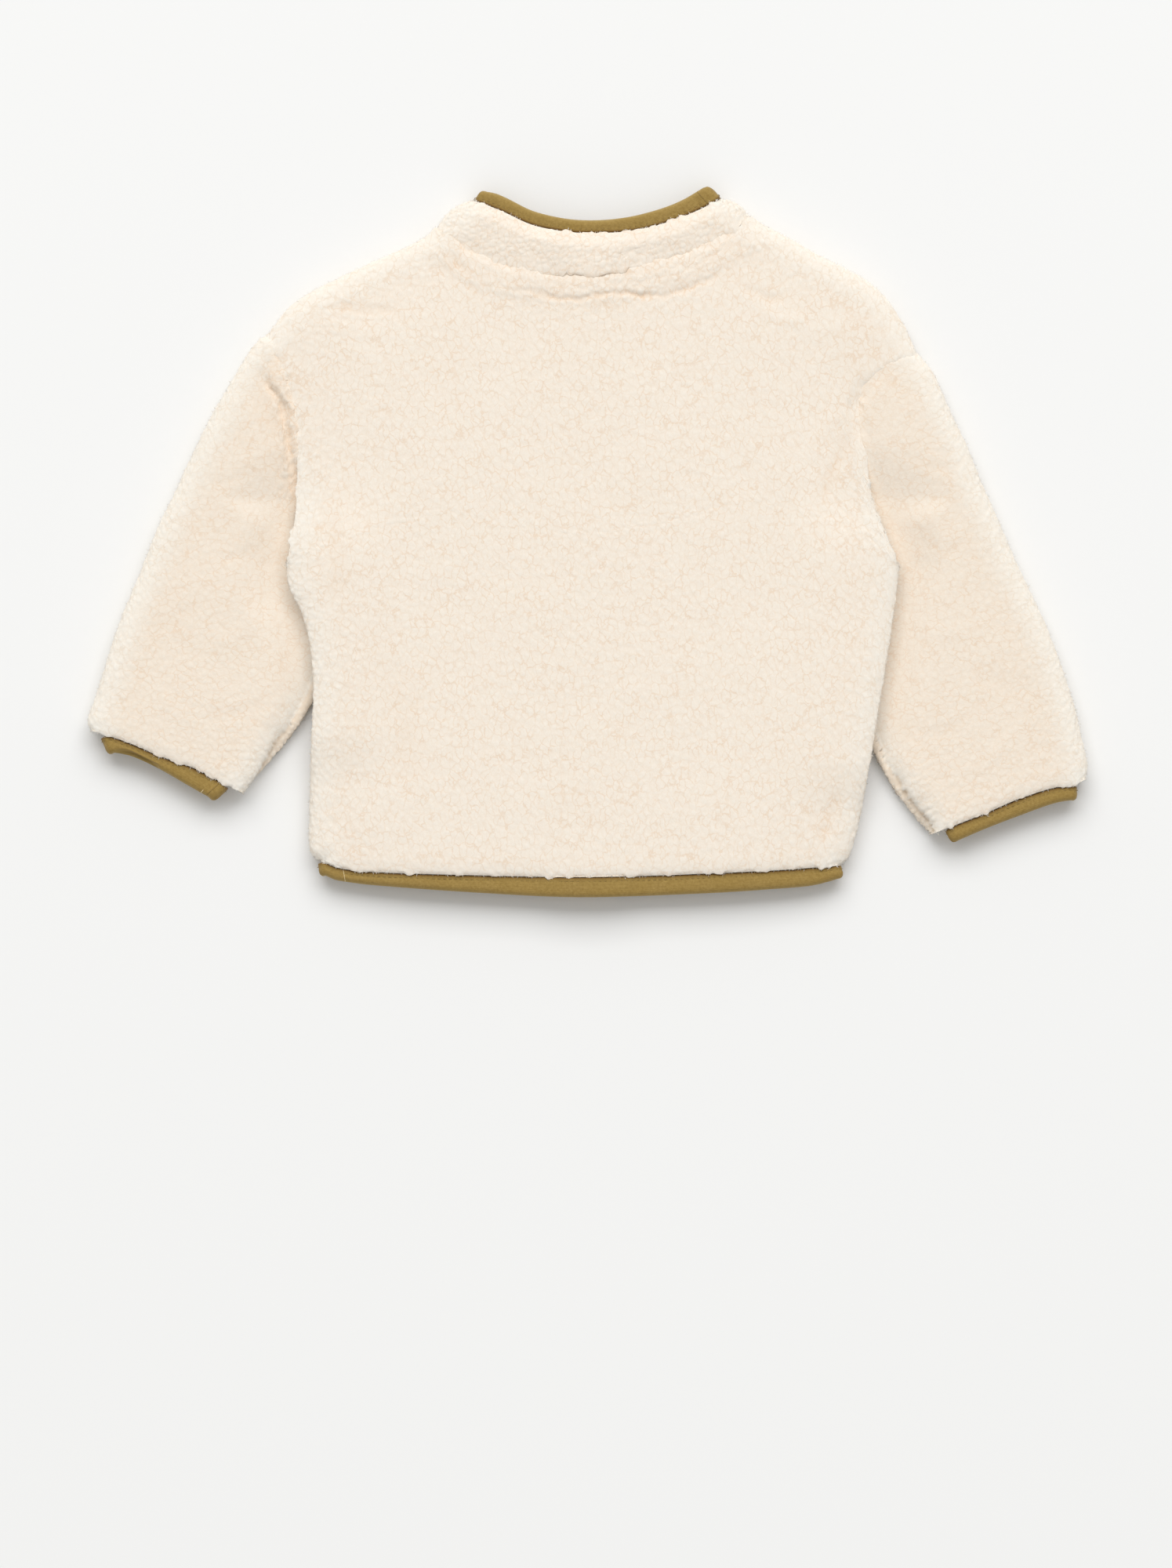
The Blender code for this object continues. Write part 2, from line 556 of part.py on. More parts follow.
def sleeve_surfaces(plan, side):
    """Outer and inner rings of a sleeve, each rows by ring points by 3."""
    squash = sleeve_squash(plan, side)
    full = WALL + (TUCKED_WALL - WALL) * squash
    air = SLEEVE_AIR + (TUCKED_AIR - SLEEVE_AIR) * squash
    folds = nearest(plan, [LINES[f"outer_{side}"], LINES[f"inner_{side}"]])
    arm_away = distance(plan, LINES[f"armhole_{side}"])
    cuff_away = distance(plan, LINES[f"cuff_{side}"])
    share = np.min([
        rounded(folds, OUTER_ROUND, 0.0, 1.0),
        rounded(arm_away, INNER_ROUND, INNER_SEAM / WALL, 1.0),
        rounded(cuff_away, BOUND_ROUND, BOUND_EDGE / WALL, 1.0),
    ], axis=0)
    place, half_width, height = ARM_RIDGE
    crease, crease_half, depth = ARM_CREASE
    inside = ramp(folds, 0, OUTER_ROUND)
    relief = (height * bump(arm_away, place, half_width)
              - depth * bump(arm_away, crease, crease_half)) * inside * (1 - squash)
    upper = full + air + full * share + relief
    lower = full - full * share
    middle = full + air / 2
    width = np.linalg.norm(plan[:, -1] - plan[:, 0], axis=1)[:, None]
    inset = WALL / width
    base = sleeve_columns(side)
    shares = inset + (1 - 2 * inset) * base[None, :]

    def inset_row(i, values):
        return np.interp(shares[i], base, values)

    hollow = np.array([np.column_stack([inset_row(i, row[:, 0]), inset_row(i, row[:, 1])])
                       for i, row in enumerate(plan)])
    roof = np.array([inset_row(i, row) for i, row in enumerate(full + air)])
    floor = np.array([inset_row(i, row) for i, row in enumerate(full)])
    return (ring_of(plan, upper, lower, middle),
            ring_of(hollow, roof, floor, (roof + floor) / 2))


def ring_of(plan, upper, lower, middle):
    """Rings that go across at the upper height and back at the lower one."""
    ends = [0, plan.shape[1] - 1]
    over = upper.copy()
    over[:, ends] = middle[:, ends]
    there = raised(plan, over)
    back = raised(plan, lower)[:, -2:0:-1]
    return np.concatenate([there, back], axis=1)


def make_sleeve(side, material):
    """One sleeve, sewn into a tube that lies flat, open at armhole and cuff."""
    outer, inner = sleeve_surfaces(sleeve_plan(side), side)
    if side == "left":
        outer, inner = outer[:, ::-1], inner[:, ::-1]
    return wall(f"sleeve_{side}", outer, inner, material, closed=True)


def make_cuff_binding(side, material):
    """The tape round a cuff, a closed ring of two runs and two turns."""
    cuff, turn = LINES[f"cuff_{side}"], TAPE + SEAM_GAP
    first, last = CUFF_TRIM[0] + turn, length_of(cuff) - CUFF_TRIM[1] - turn
    places = sleeve_columns(side) * length_of(cuff)
    inside = (places > first + 1) & (places < last - 1)
    places = np.concatenate([[first], places[inside], [last]])
    root = along(cuff, places / length_of(cuff))
    edge_line = trimmed(LINES[f"cuff_edge_{side}"], turn, turn)
    edge = along(edge_line, (places - first) / (last - first))
    root = root + ARMHOLE_GAP * outward(root, edge[5])
    low, high = WALL - TAPE / 2, WALL + SLEEVE_AIR + TAPE / 2
    lower, upper = (flat_tape(root, edge, np.full(len(root), height), facing)
                    for height, facing in ((low, -1), (high, 1)))
    turns = [tape_turn((root[k], edge[k], low), (root[k], edge[k], high),
                       2 * root[k] - root[m]) for k, m in ((0, 1), (-1, -2))]
    ring = np.concatenate([lower[::-1], turns[0], upper, turns[1][::-1]])
    return strip(f"cuff_binding_{side}", ring, material, closed=True)


def front_stations():
    """Columns shared by the neckline, hem and bindings in the middle: left and right."""
    grid = body_grid()
    middle = len(FLANK)
    left, right = slice(None, middle + 4), slice(middle + 2, None)
    return grid, left, right


def collar_side(x, seam_line, top_line, corner):
    """Seam and top points of one collar run, from the middle out to the fold."""
    seam = np.column_stack([x, at_x(seam_line, x)])
    turn = np.array(COLLAR_TURN)[:, None]
    seam = np.vstack([seam, seam[-1] + (corner - seam[-1]) * turn])
    steps = np.linalg.norm(np.diff(np.vstack([seam, corner]), axis=0), axis=1)
    run = np.concatenate([[0], np.cumsum(steps)])
    inward = np.abs(seam[:, 0]) <= PRESSED_TO
    last = np.flatnonzero(inward)[-1]
    share = (run[:-1] - run[last]) / (run[-1] - run[last])
    start = seam[last, 0]
    outer = top_line[top_line[:, 0] > start] if start > 0 else (
        top_line[top_line[:, 0] < start][::-1])
    outer = np.vstack([[start, at_x(top_line, start)], outer])
    top = along(outer, np.clip(share, 0, 1))
    top[inward, 0] = seam[inward, 0]
    top[:, 1] = at_x(top_line, top[:, 0])
    return seam, top


def collar_runs(grid, left, right):
    """Seam and top points of the four runs of the collar, each out to its fold."""
    top = grid[0]
    neck = slice(FLANK_OF_NECK + 1, len(top) - FLANK_OF_NECK - 1)
    x = top[neck, 0]
    corners = {"left": (np.array(NECK_BACK[0]), np.array(COLLAR_TOP_BACK[0])),
               "right": (np.array(NECK_BACK[-1]), np.array(COLLAR_TOP_BACK[-1]))}
    runs = {}
    for side in ("left", "right"):
        end = FRONT_CLOTH if side == "left" else -FRONT_CLOTH
        out = x[x <= end + 0.01][::-1] if side == "left" else x[x >= end - 0.01]
        runs["front", side] = collar_side(
            out, LINES["neck_front"], LINES["collar_top_front"], corners[side][0])
        out = x[x < 0][::-1] if side == "left" else x[x > 0]
        runs["back", side] = collar_side(
            out, LINES["neck_back"], LINES["collar_top_back"], corners[side][0])
    return runs, corners


def collar_levels(seam, top):
    """Plan points of a collar run: stations by COLLAR_ROWS."""
    rows = np.array(COLLAR_ROWS)[None, :, None]
    along_it = top - seam
    length = np.linalg.norm(along_it, axis=1)[:, None]
    start = seam + along_it / length * SEAM_GAP
    return start[:, None] + (top - start)[:, None] * rows


def collar_bulged(p):
    """The collar's points with its two sides curved outwards."""
    rows = np.array(COLLAR_ROWS)
    for fold in (COLLAR_FOLD_LEFT, COLLAR_FOLD_RIGHT):
        along_it = (fold[1] - fold[0]) / np.linalg.norm(fold[1] - fold[0])
        out = np.array([-along_it[1], along_it[0]]) * -np.sign(along_it[0])
        out = -out if out[1] < 0 else out
        share = ramp(distance(p[..., :2], fold), COLLAR_BULGE_REACH, 0)
        shift = COLLAR_BULGE * 4 * rows * (1 - rows) * share
        p = p + shift[..., None] * np.array([*out, 0])
    return p


def collar_wall(p):
    """Thickness of the collar, from its levels."""
    seam = np.linalg.norm(p - p[:, :1], axis=2)
    top = np.linalg.norm(p - p[:, -1:], axis=2)
    folds = nearest(p, [COLLAR_FOLD_LEFT, COLLAR_FOLD_RIGHT])
    return np.min([
        rounded(folds, OUTER_ROUND, OUTER_SEAM, WALL),
        rounded(seam, INNER_ROUND, INNER_SEAM, WALL),
        rounded(top, BOUND_ROUND, BOUND_EDGE, WALL),
    ], axis=0)


def collar_fold(side, corners):
    """Outer and inner points of the collar at its fold."""
    seam, top = corners[side]
    plan = collar_levels(np.array([seam]), np.array([top]))
    inward = 1 if side == "left" else -1
    low, high = front_top(plan), back_base(plan)
    middle = (low + high) / 2
    rows = np.array(COLLAR_ROWS)
    inner = plan + COLLAR_HOLLOW * np.column_stack([inward * (1 - rows), -rows])
    return raised(plan, middle), raised(inner, middle)


def make_collar(runs, corners, material):
    """The stand collar, one strip from the left front round the back of the neck."""
    faces = []
    for part, side in (("front", "left"), ("back", "left"), ("back", "right"),
                       ("front", "right")):
        plan = collar_levels(*runs[part, side])
        thickness = collar_wall(plan)
        if part == "back":
            base = back_base(plan)
            outer, inner = raised(plan, base + thickness), raised(plan, base)
        else:
            if side == "left":
                top, most = left_front_top(plan), left_front_top(plan)
            else:
                top, most = front_top(plan), right_front_wall(plan[..., 0])
            thickness = np.minimum(thickness, most)
            outer, inner = raised(plan, top - thickness), raised(plan, top)
        faces.append((outer, inner))
    folds = {side: collar_fold(side, corners) for side in ("left", "right")}
    upper, lower = (collar_bulged(np.concatenate([
        faces[0][k], folds["left"][k], faces[1][k][::-1], faces[2][k],
        folds["right"][k], faces[3][k][::-1]])) for k in (0, 1))
    return wall("collar", upper, lower, material)


def split_at_front(run):
    """A run along the fronts as its left and right parts, which overlap."""
    root, edge = run
    left, right = root[:, 0] <= FRONT_CLOTH + 0.01, root[:, 0] >= -FRONT_CLOTH - 0.01
    return {"left": (root[left], edge[left]), "right": (root[right], edge[right])}


def make_neck_binding(runs, material):
    """The tape round the top of the collar, open at the front."""
    tapes = {}
    for part in ("back", "front"):
        columns = np.unique(np.concatenate([runs[part, side][1][:, 0].round(6)
                                            for side in ("left", "right")]))
        tapes[part] = tape_run(LINES[f"collar_top_{part}"], LINES[f"neck_edge_{part}"],
                               columns)
    corners = {"left": np.array([-1000, 1000]), "right": np.array([1000, 1000])}
    fronts = split_at_front(tapes["front"])
    return folded_tape("neck_binding", tapes["back"], fronts, corners, material)


def make_hem_binding(grid, material):
    """The tape round the hem, open where the fronts overlap."""
    turn = TAPE + SEAM_GAP
    hem = trimmed(LINES["hem"], turn, turn)
    run = tape_run(hem, LINES["hem_edge"], grid[-1, :, 0])
    corners = {"left": grid[-1, 0], "right": grid[-1, -1]}
    return folded_tape("hem_binding", run, split_at_front(run), corners, material)


def make_front_binding(side, material):
    """The tape up a front's edge and the collar's end."""
    sign, middle = (1, PRESSED / 2) if side == "left" else (
        -1, LIFT_OVER_FRONT + PRESSED / 2)
    root_x = sign * (FRONT_CLOTH + SEAM_GAP)
    edge_x = sign * OVERLAP
    bottom = at_x(LINES["hem_edge"], root_x)
    top = at_x(LINES["neck_edge_front"], root_x)
    y = np.linspace(bottom + 0.2, top - 0.2, 8)
    root = np.column_stack([np.full(len(y), root_x), y])
    edge = np.column_stack([np.full(len(y), edge_x), y])
    sections = flat_tape(root, edge, np.full(len(y), middle), sign)
    return strip(f"front_binding_{side}", sections, material)


def make_studs(cloths, material):
    """Press studs in round pockets of the left front and the collar's end."""
    for i in range(STUD_COUNT):
        y = STUD_FIRST - i * STUD_PITCH
        bpy.ops.mesh.primitive_cylinder_add(
            vertices=STUD_SIDES, radius=(STUD_RADIUS + POCKET_ROOM) * MM,
            depth=2 * POCKET_DEPTH * MM, location=(0, y * MM, 0))
        pocket = bpy.context.object
        pocket.name = f"pocket_{i + 1}"
        pocket.hide_render = True
        pocket.display_type = "WIRE"
        move_to(pocket, cutters)
        cut = cloths[0 if i == 0 else 1].modifiers.new(pocket.name, "BOOLEAN")
        cut.object = pocket
        cut.operation = "DIFFERENCE"
        z = POCKET_DEPTH - SEAM_GAP - STUD_THICKNESS / 2
        bpy.ops.mesh.primitive_cylinder_add(
            vertices=STUD_SIDES, radius=STUD_RADIUS * MM,
            depth=STUD_THICKNESS * MM, location=(0, y * MM, z * MM))
        stud = bpy.context.object
        stud.name = f"press_stud_{i + 1}"
        stud.data.materials.append(material)
        rim = stud.modifiers.new("rim", "BEVEL")
        rim.width = 0.4 * MM
        rim.segments = 1
        rim.limit_method = "ANGLE"
        move_to(stud, garment)


def move_to(obj, collection):
    for old in list(obj.users_collection):
        old.objects.unlink(obj)
    collection.objects.link(obj)


def linear(channel):
    """An sRGB channel as a linear one."""
    return channel / 12.92 if channel <= 0.04045 else ((channel + 0.055) / 1.055) ** 2.4


def make_material(name):
    colour, roughness = COLOURS[name]
    material = bpy.data.materials.new(name)
    material.use_nodes = True
    shader = material.node_tree.nodes["Principled BSDF"]
    shader.inputs["Base Color"].default_value = (*[linear(c) for c in colour], 1)
    shader.inputs["Roughness"].default_value = roughness
    shader.inputs["Metallic"].default_value = 1.0 if name == "stud" else 0.0
    return material


for old in list(bpy.data.objects):
    bpy.data.objects.remove(old)
garment = bpy.data.collections.new("sherpa_cardigan")
cutters = bpy.data.collections.new("cutters")
for made in (garment, cutters):
    bpy.context.scene.collection.children.link(made)

sherpa_cloth, binding_tape, stud_metal = (make_material(n) for n in COLOURS)
body, left_columns, right_columns = front_stations()
collar_parts, collar_corners = collar_runs(body, left_columns, right_columns)

make_back(body, sherpa_cloth)
make_fronts(body, sherpa_cloth)
collar = make_collar(collar_parts, collar_corners, sherpa_cloth)
for arm in ("left", "right"):
    make_sleeve(arm, sherpa_cloth)
    make_cuff_binding(arm, binding_tape)
    make_front_binding(arm, binding_tape)
make_neck_binding(collar_parts, binding_tape)
make_hem_binding(body, binding_tape)
make_studs((collar, bpy.data.objects["front_left"]), stud_metal)
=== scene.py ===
"""Looks of a baby's sherpa cardigan that lies flat on its front with its back up.

Each cut piece of fleece is a closed wall of cloth: a fine face with the pile on it and a
coarse wrong side. The tables are in millimetres, seen from above, and a mesh gets metres.
+Y points to the collar and -X to the wearer's left arm.
"""

import itertools
import math

import bpy
import numpy as np
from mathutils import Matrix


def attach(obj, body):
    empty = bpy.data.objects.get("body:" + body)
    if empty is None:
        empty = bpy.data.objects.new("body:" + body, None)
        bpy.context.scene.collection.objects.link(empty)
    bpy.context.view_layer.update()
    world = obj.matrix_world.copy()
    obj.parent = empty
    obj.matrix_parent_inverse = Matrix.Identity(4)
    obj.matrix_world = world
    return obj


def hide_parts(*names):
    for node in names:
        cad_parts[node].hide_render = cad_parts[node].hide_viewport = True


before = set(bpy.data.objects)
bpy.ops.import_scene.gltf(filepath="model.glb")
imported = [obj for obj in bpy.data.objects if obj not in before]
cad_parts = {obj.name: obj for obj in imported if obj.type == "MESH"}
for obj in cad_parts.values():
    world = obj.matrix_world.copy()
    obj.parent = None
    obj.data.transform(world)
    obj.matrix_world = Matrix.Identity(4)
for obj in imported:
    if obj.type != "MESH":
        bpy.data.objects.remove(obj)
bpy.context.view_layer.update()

MM = 0.001

# Cloth and trim, as in the solids
WALL = 8.0
SEAM_GAP = 0.3
ARMHOLE_GAP = 0.4
AIR = 2.2  # between the back and the fronts
AIR_REACH = 55.0
OUTER_SEAM = 0.9  # wall left at the outline, and how far in it rounds
OUTER_ROUND = 12.0
INNER_SEAM = 5.0
INNER_ROUND = 9.0
SEAM_FACE = 7.2  # wall left at those seams in the face, where the pile closes over them
SEAM_ROUND = 0.7 * INNER_ROUND
BOUND_EDGE = 5.5
BOUND_ROUND = 8.0
TAPE = 5.0  # thickness of a folded binding
OVERLAP = 14.5
FRONT_TAPE = 8.0
FRONT_CLOTH = OVERLAP - FRONT_TAPE - SEAM_GAP
PRESSED = 5.0  # each front where the two overlap, from PRESSED_FROM to PRESSED_TO
PRESSED_FROM = 15.0
PRESSED_TO = 27.0
LIFT_OVER_FRONT = PRESSED + SEAM_GAP
TUCK_LIFT = 8.0  # of the body's sides on the sleeves
TUCKED_WALL = 3.4
TUCKED_AIR = 0.5
TUCK_SLOPE = 28.0
SLEEVE_AIR = 1.5
CUFF_TRIM = (6.0, 8.5)
TURN_SHARE = 0.6  # how far the folded ends of the bindings stand out, of a half circle
CUFF_TURN = 3.0
UNDERARM_BLEND = 3.0  # how late across a sleeve its inner edge takes over
SAG = 3.0  # of the back into the front's lower neckline
SAG_CENTRE = (3.0, 172.0)
SAG_RADIUS = 32.0
ARM_LENGTH = 126.0  # lengths that the rows and columns of points are spread over
SIDE_LENGTH = 166.0
BODY_WIDTH = 312.0
FRONT_WIDTH = 162.0
SLEEVE_LENGTH = 226.0
SLEEVE_WIDTH = 122.0
COLLAR_WIDTH = 34.0
NECK_FREE = 76.0  # down to here the fronts' rows sink to the lower neckline
COLLAR_RISE = 3.3
COLLAR_HOLLOW = 1.4
NECK_DROP = 0.25  # how far both edges of the neck seam dip
LIP_HEIGHT = 4.0  # of a sleeve's under layer where it shows
COLLAR_BULGE = 3.2
COLLAR_BULGE_REACH = 16.0
STUD_PLACES = [(0.0, 123.0 - 57.0 * i) for i in range(6)]
STUD_RADIUS = 4.5
STUD_TOP = 3.05
STITCH = 2.9  # from one stitch to the next

# The curled pile
CURL = 3.2  # a clump of curls
SMALL_CURL = 2.2  # the curls in a clump
DRAWN_CURL = 4.6  # a clump as the material draws it
CURL_DEPTH = 0.8
FLATTENED = 0.6  # how much a slope of the pile is lit as if it were level
PILE_GAP = 0.02  # between the lowest curls and the floor
FAR = 99.0  # a distance beyond any reach

# The studio
CAMERA_HEIGHT = 5.012
CAMERA_PLACE = (-0.0008, -0.1302)
FRAME_HEIGHT = 0.840  # what the frame shows of a plane 5 m below the camera
SOFTBOX_SIZE = (14.0, 8.0)
SOFTBOX_AWAY = 12.0
SOFTBOX_TILT = math.radians(42)
SOFTBOX_WATTS = 1230
SKY_STRENGTH = 0.54

LINES_MM = {
    "shoulder_left": ((-171, 111), (-160.7, 124.3), (-149.3, 132.7), (-136.3, 139.4),
        (-121.2, 146.6), (-108.2, 152.5), (-92, 160), (-81, 167)),
    "neck_back": ((-81, 167), (-73, 162.5), (-66, 157.5), (-57, 152), (-46, 147.8),
        (-33, 144.9), (-14.5, 143), (4.4, 143), (24, 146), (45, 152), (66, 159.5),
        (79, 166.5), (87, 173)),
    "shoulder_right": ((87, 173), (94, 169.5), (104.8, 163.8), (119.9, 155.4),
        (134.6, 147.8), (149.7, 139.4), (160, 129.8), (169, 116.8), (176.5, 100)),
    "neck_front": ((-81, 167), (-76.5, 152), (-67.5, 136.5), (-56, 125), (-43, 117),
        (-27, 111.5), (0, 109), (27, 111.5), (45, 118), (59, 127), (71.5, 140), (81, 155.5),
        (87, 173)),
    "armhole_left": ((-171, 111), (-165.5, 97), (-160, 83), (-155.8, 62), (-154.4, 47),
        (-155.6, 29), (-156.4, 14), (-158.8, -1), (-161, -12.6)),
    "armhole_right": ((176.5, 100), (167.5, 97), (155.5, 91.5), (147.5, 83), (144.8, 70),
        (145.6, 60), (148, 46), (150.6, 28), (155.8, 11.5), (162, -2), (166.5, -14.7)),
    "side_left": ((-161, -12.6), (-159.5, -25), (-153.2, -38), (-148.8, -54), (-146.8, -72),
        (-146.8, -90), (-148, -110), (-149, -148), (-149, -162), (-147.2, -168.6),
        (-142.6, -171.6)),
    "side_right": ((166.5, -14.7), (165.7, -24), (162.8, -46.6), (159.2, -69), (155.6, -91),
        (152.6, -110.5), (149.7, -127), (146, -148), (142.2, -163), (139.4, -170),
        (135, -173.8)),
    "hem": ((-142.6, -171.6), (-130, -175.8), (-104.8, -177.8), (-63, -179), (-12.4, -180),
        (30, -179.4), (63.2, -178.2), (105, -176.2), (135, -173.8)),
    "hem_edge": ((-140.2, -179.4), (-136, -181.4), (-128, -182.8), (-113, -184.6),
        (-63, -188.2), (-4, -190.9), (63, -188.8), (101, -186.4), (118, -185),
        (126, -183.4), (134, -181.1)),
    "collar_top_back": ((-61.5, 182.6), (-46, 176.6), (-29.2, 169), (-10, 165.3),
        (8.6, 164.8), (27.5, 166.4), (46.4, 171.8), (60, 177.4), (71, 183)),
    "collar_top_front": ((-61.5, 182.6), (-56.5, 170), (-46.5, 156), (-31, 144.5),
        (-12, 138.6), (0, 137.6), (12, 138.6), (34, 146), (53, 160), (65, 172), (71, 183)),
    "neck_edge_back": ((-54, 187.2), (-48.5, 186), (-41.8, 183), (-29.2, 176.8),
        (-12.4, 172.7), (4.4, 171.8), (21.2, 173.4), (38, 177.6), (50.6, 182.6),
        (61.5, 189)),
    "neck_edge_front": ((-54.8, 186), (-49.5, 173), (-40, 161), (-26.5, 151), (-10, 146.2),
        (0, 145.6), (12, 146.2), (30, 152.5), (46, 164), (58, 175), (65.2, 187.3)),
    "outer_left": ((-171, 111), (-178.7, 105), (-194.7, 79.4), (-207.7, 55), (-220.7, 26.9),
        (-230.5, 7), (-239.6, -16.4), (-252.6, -48.3), (-263.5, -83), (-267.8, -96),
        (-266, -101.5)),
    "inner_left": ((-146.3, -20.5), (-141.5, -33), (-138.8, -48), (-140, -66), (-148, -88),
        (-163, -109.5), (-178, -127), (-184.5, -135)),
    "outer_right": ((176.5, 100), (185.4, 90.3), (194.7, 69), (204.3, 49), (212, 29.5),
        (219.5, 13), (230.4, -12.6), (245.5, -44.5), (258.5, -80.2), (264.4, -103),
        (267.8, -119), (267, -127.5)),
    "inner_right": ((151.3, -24.6), (147.2, -38), (145, -54), (144.5, -72), (146.5, -90),
        (151, -107), (160, -126), (171.5, -143), (184, -157)),
    "cuff_left": ((-266, -101.5), (-258, -103.8), (-244.5, -108.6), (-227.4, -115.8),
        (-211, -121.6), (-197, -128.6), (-184.5, -135)),
    "cuff_edge_left": ((-256.5, -113), (-244.5, -115.2), (-230, -121.8), (-214, -131),
        (-200.5, -138.6)),
    "cuff_right": ((267, -127.5), (260, -130.8), (249, -132.4), (231.4, -138),
        (213.7, -145.6), (197, -152.2), (184, -157)),
    "cuff_edge_right": ((261.5, -138.6), (250, -140.6), (231.4, -147.2), (213.7, -154),
        (196, -161.6)),
}
LINES_MM["head_left"] = LINES_MM["armhole_left"][:-2] + (
    (-156.4, 2), (-152.3, -10), (-146, -20.3))
LINES_MM["head_right"] = LINES_MM["armhole_right"][:-2] + (
    (157.6, -1), (155.5, -13.5), (151, -24.3))

# Creases of the cloth: places, depth and half width. A depth below 0 is a ridge.
BACK_CREASES = (
    (((-55, 139), (-51, 138.2), (-42.6, 134.4), (-27.5, 131.9), (-6.9, 129.4),
      (16.6, 132.7), (33.4, 131), (52.3, 134.4), (71.2, 143.2), (84, 150)), 0.95, 2.4),
    (((-74, 152), (-68, 147), (-60, 143)), 0.6, 4),
    (((-142, 126), (-128, 125), (-114, 123), (-96, 125)), 0.6, 4),
    (((-146, 116), (-124, 112), (-104, 113)), -0.4, 6),
    (((80, 138), (94, 131), (110, 129)), 0.6, 4),
    (((90, 124), (104, 118), (122, 119)), -0.4, 6),
    (((146, 60), (136, 48), (128, 30), (124, 12)), 0.5, 5),
    (((136, 74), (126, 58), (118, 38)), -0.4, 7),
    (((140, -128), (130, -148), (122, -166)), 0.5, 6),
    (((-12.5, -57), (-13, -90), (-14, -130), (-13.5, -176)), 0.3, 1.8),
    (((-140, 20), (-134, -6), (-132, -36)), 0.4, 7),
    (((-60, 60), (-38, 20), (-40, -30)), -0.3, 16),
    (((50, 80), (62, 30), (54, -20)), -0.3, 18),
    (((-110, -60), (-96, -100), (-100, -140)), 0.3, 14),
)
FRONT_CREASES = (
    (((-70, 128), (-52, 114), (-30, 104), (-8, 100)), 1.5, 2.6),
    (((12, 100), (34, 103), (56, 116), (74, 134)), 1.6, 2.6),
    (((-140, 122), (-118, 118), (-98, 121)), 0.9, 5),
    (((100, 126), (122, 120), (142, 122)), 1.0, 5),
    (((-134, 62), (-122, 40), (-118, 12)), 0.9, 7),
    (((132, 58), (124, 34), (122, 4)), 0.8, 6),
    (((-110, -70), (-86, -98), (-70, -136)), 0.7, 9),
    (((96, -60), (84, -100), (92, -150)), 0.7, 10),
    (((-60, 70), (-46, 30), (-52, -30)), -0.6, 14),
    (((60, 80), (72, 20), (60, -40)), -0.6, 15),
)
SLEEVE_CREASES = {"left": (
    (((-178, 98), (-174, 88), (-165, 75), (-161.5, 63), (-159.3, 46), (-157.5, 32),
      (-157.5, 12)), 2.8, 3.6),
    (((-186, 100), (-180, 86), (-171, 73), (-168, 60), (-166, 40), (-165, 20)), 0.9, 11),
    (((-171, 99), (-163.5, 82), (-159, 66), (-157, 52)), -0.9, 4.5),
    (((-178, 40), (-192, 32), (-204, 30)), 0.4, 5),
    (((-168, 2), (-184, -8), (-200, -12)), 0.4, 6),
    (((-172, -38), (-190, -52), (-206, -52)), -0.3, 8),
    (((-166, -84), (-184, -92), (-208, -94)), 0.4, 6),
    (((-200, -30), (-224, -44), (-240, -44)), 0.3, 8),
    (((-236, -74), (-220, -92), (-200, -104)), -0.3, 6),
), "right": (
    (((168, 50), (184, 40), (200, 38)), 0.4, 5),
    (((170, 8), (188, -4), (206, -4)), 0.4, 6),
    (((168, -38), (188, -50), (212, -46)), -0.3, 8),
    (((160, -96), (180, -104), (206, -100)), 0.4, 7),
    (((200, -66), (224, -78), (244, -74)), 0.3, 8),
    (((232, -100), (214, -118), (196, -126)), -0.3, 6),
)}
# Where a sleeve's under layer shows past its inner edge, and by how much
SLEEVE_LIPS = {
    "left": (((-143, -78), (-152, -95), (-164, -111)), 4.4),
    "right": (((150, -104), (157, -121), (168, -139), (177, -150)), 4.4),
}
# Up each armhole: y, the share of a step between body and sleeve, and a dent's depth
ARMHOLE_PROFILES = {
    "left": ((10, 1.0, 0.0), (34, 0.8, 0.2), (50, 0.3, 0.9), (75, 0.0, 1.2),
             (98, 0.0, 1.0), (111, 0.0, 0.0)),
    "right": ((8, 0.8, 0.0), (34, 0.5, 0.0), (50, 0.1, 0.5), (62, 0.0, 2.4),
              (72, 0.0, 3.2), (84, 0.0, 1.8), (91, 0.0, 0.0), (101, 0.0, 0.0)),
}
DENT_WIDTHS = {"left": 3.4, "right": 7.0}


# ---- Curves and distances

def smooth(points, per_span=6, closed=False):
    """A curve through points of any number of coordinates.

    Catmull-Rom: between two points it is the cubic whose slope at each is half the step
    from the point before to the point after. A closed curve ends where it starts.
    """
    p = np.array(points, float)
    p = (np.vstack([p[-1:], p, p[:2]]) if closed
         else np.vstack([2 * p[:1] - p[1:2], p, 2 * p[-1:] - p[-2:-1]]))
    t = np.linspace(0, 1, per_span, endpoint=False)[:, None]
    a, b, c, d = p[:-3, None], p[1:-2, None], p[2:-1, None], p[3:, None]
    span = (2 * b + (c - a) * t + (2 * a - 5 * b + 4 * c - d) * t**2
            + (3 * b - a - 3 * c + d) * t**3) / 2
    return np.vstack([span.reshape(-1, p.shape[1]), p[-2]])


def unit(vectors):
    """The vectors, each made 1 long."""
    return vectors / np.maximum(np.linalg.norm(vectors, axis=-1, keepdims=True), 1e-12)


def length_of(line):
    return np.linalg.norm(np.diff(line, axis=0), axis=1).sum()


def along(line, shares, by=None):
    """Points at shares of a polyline's length. The length counts its first by columns."""
    steps = np.linalg.norm(np.diff(line[:, :by], axis=0), axis=1)
    run = np.concatenate([[0], np.cumsum(steps)]) / steps.sum()
    return np.column_stack([np.interp(shares, run, column) for column in line.T])


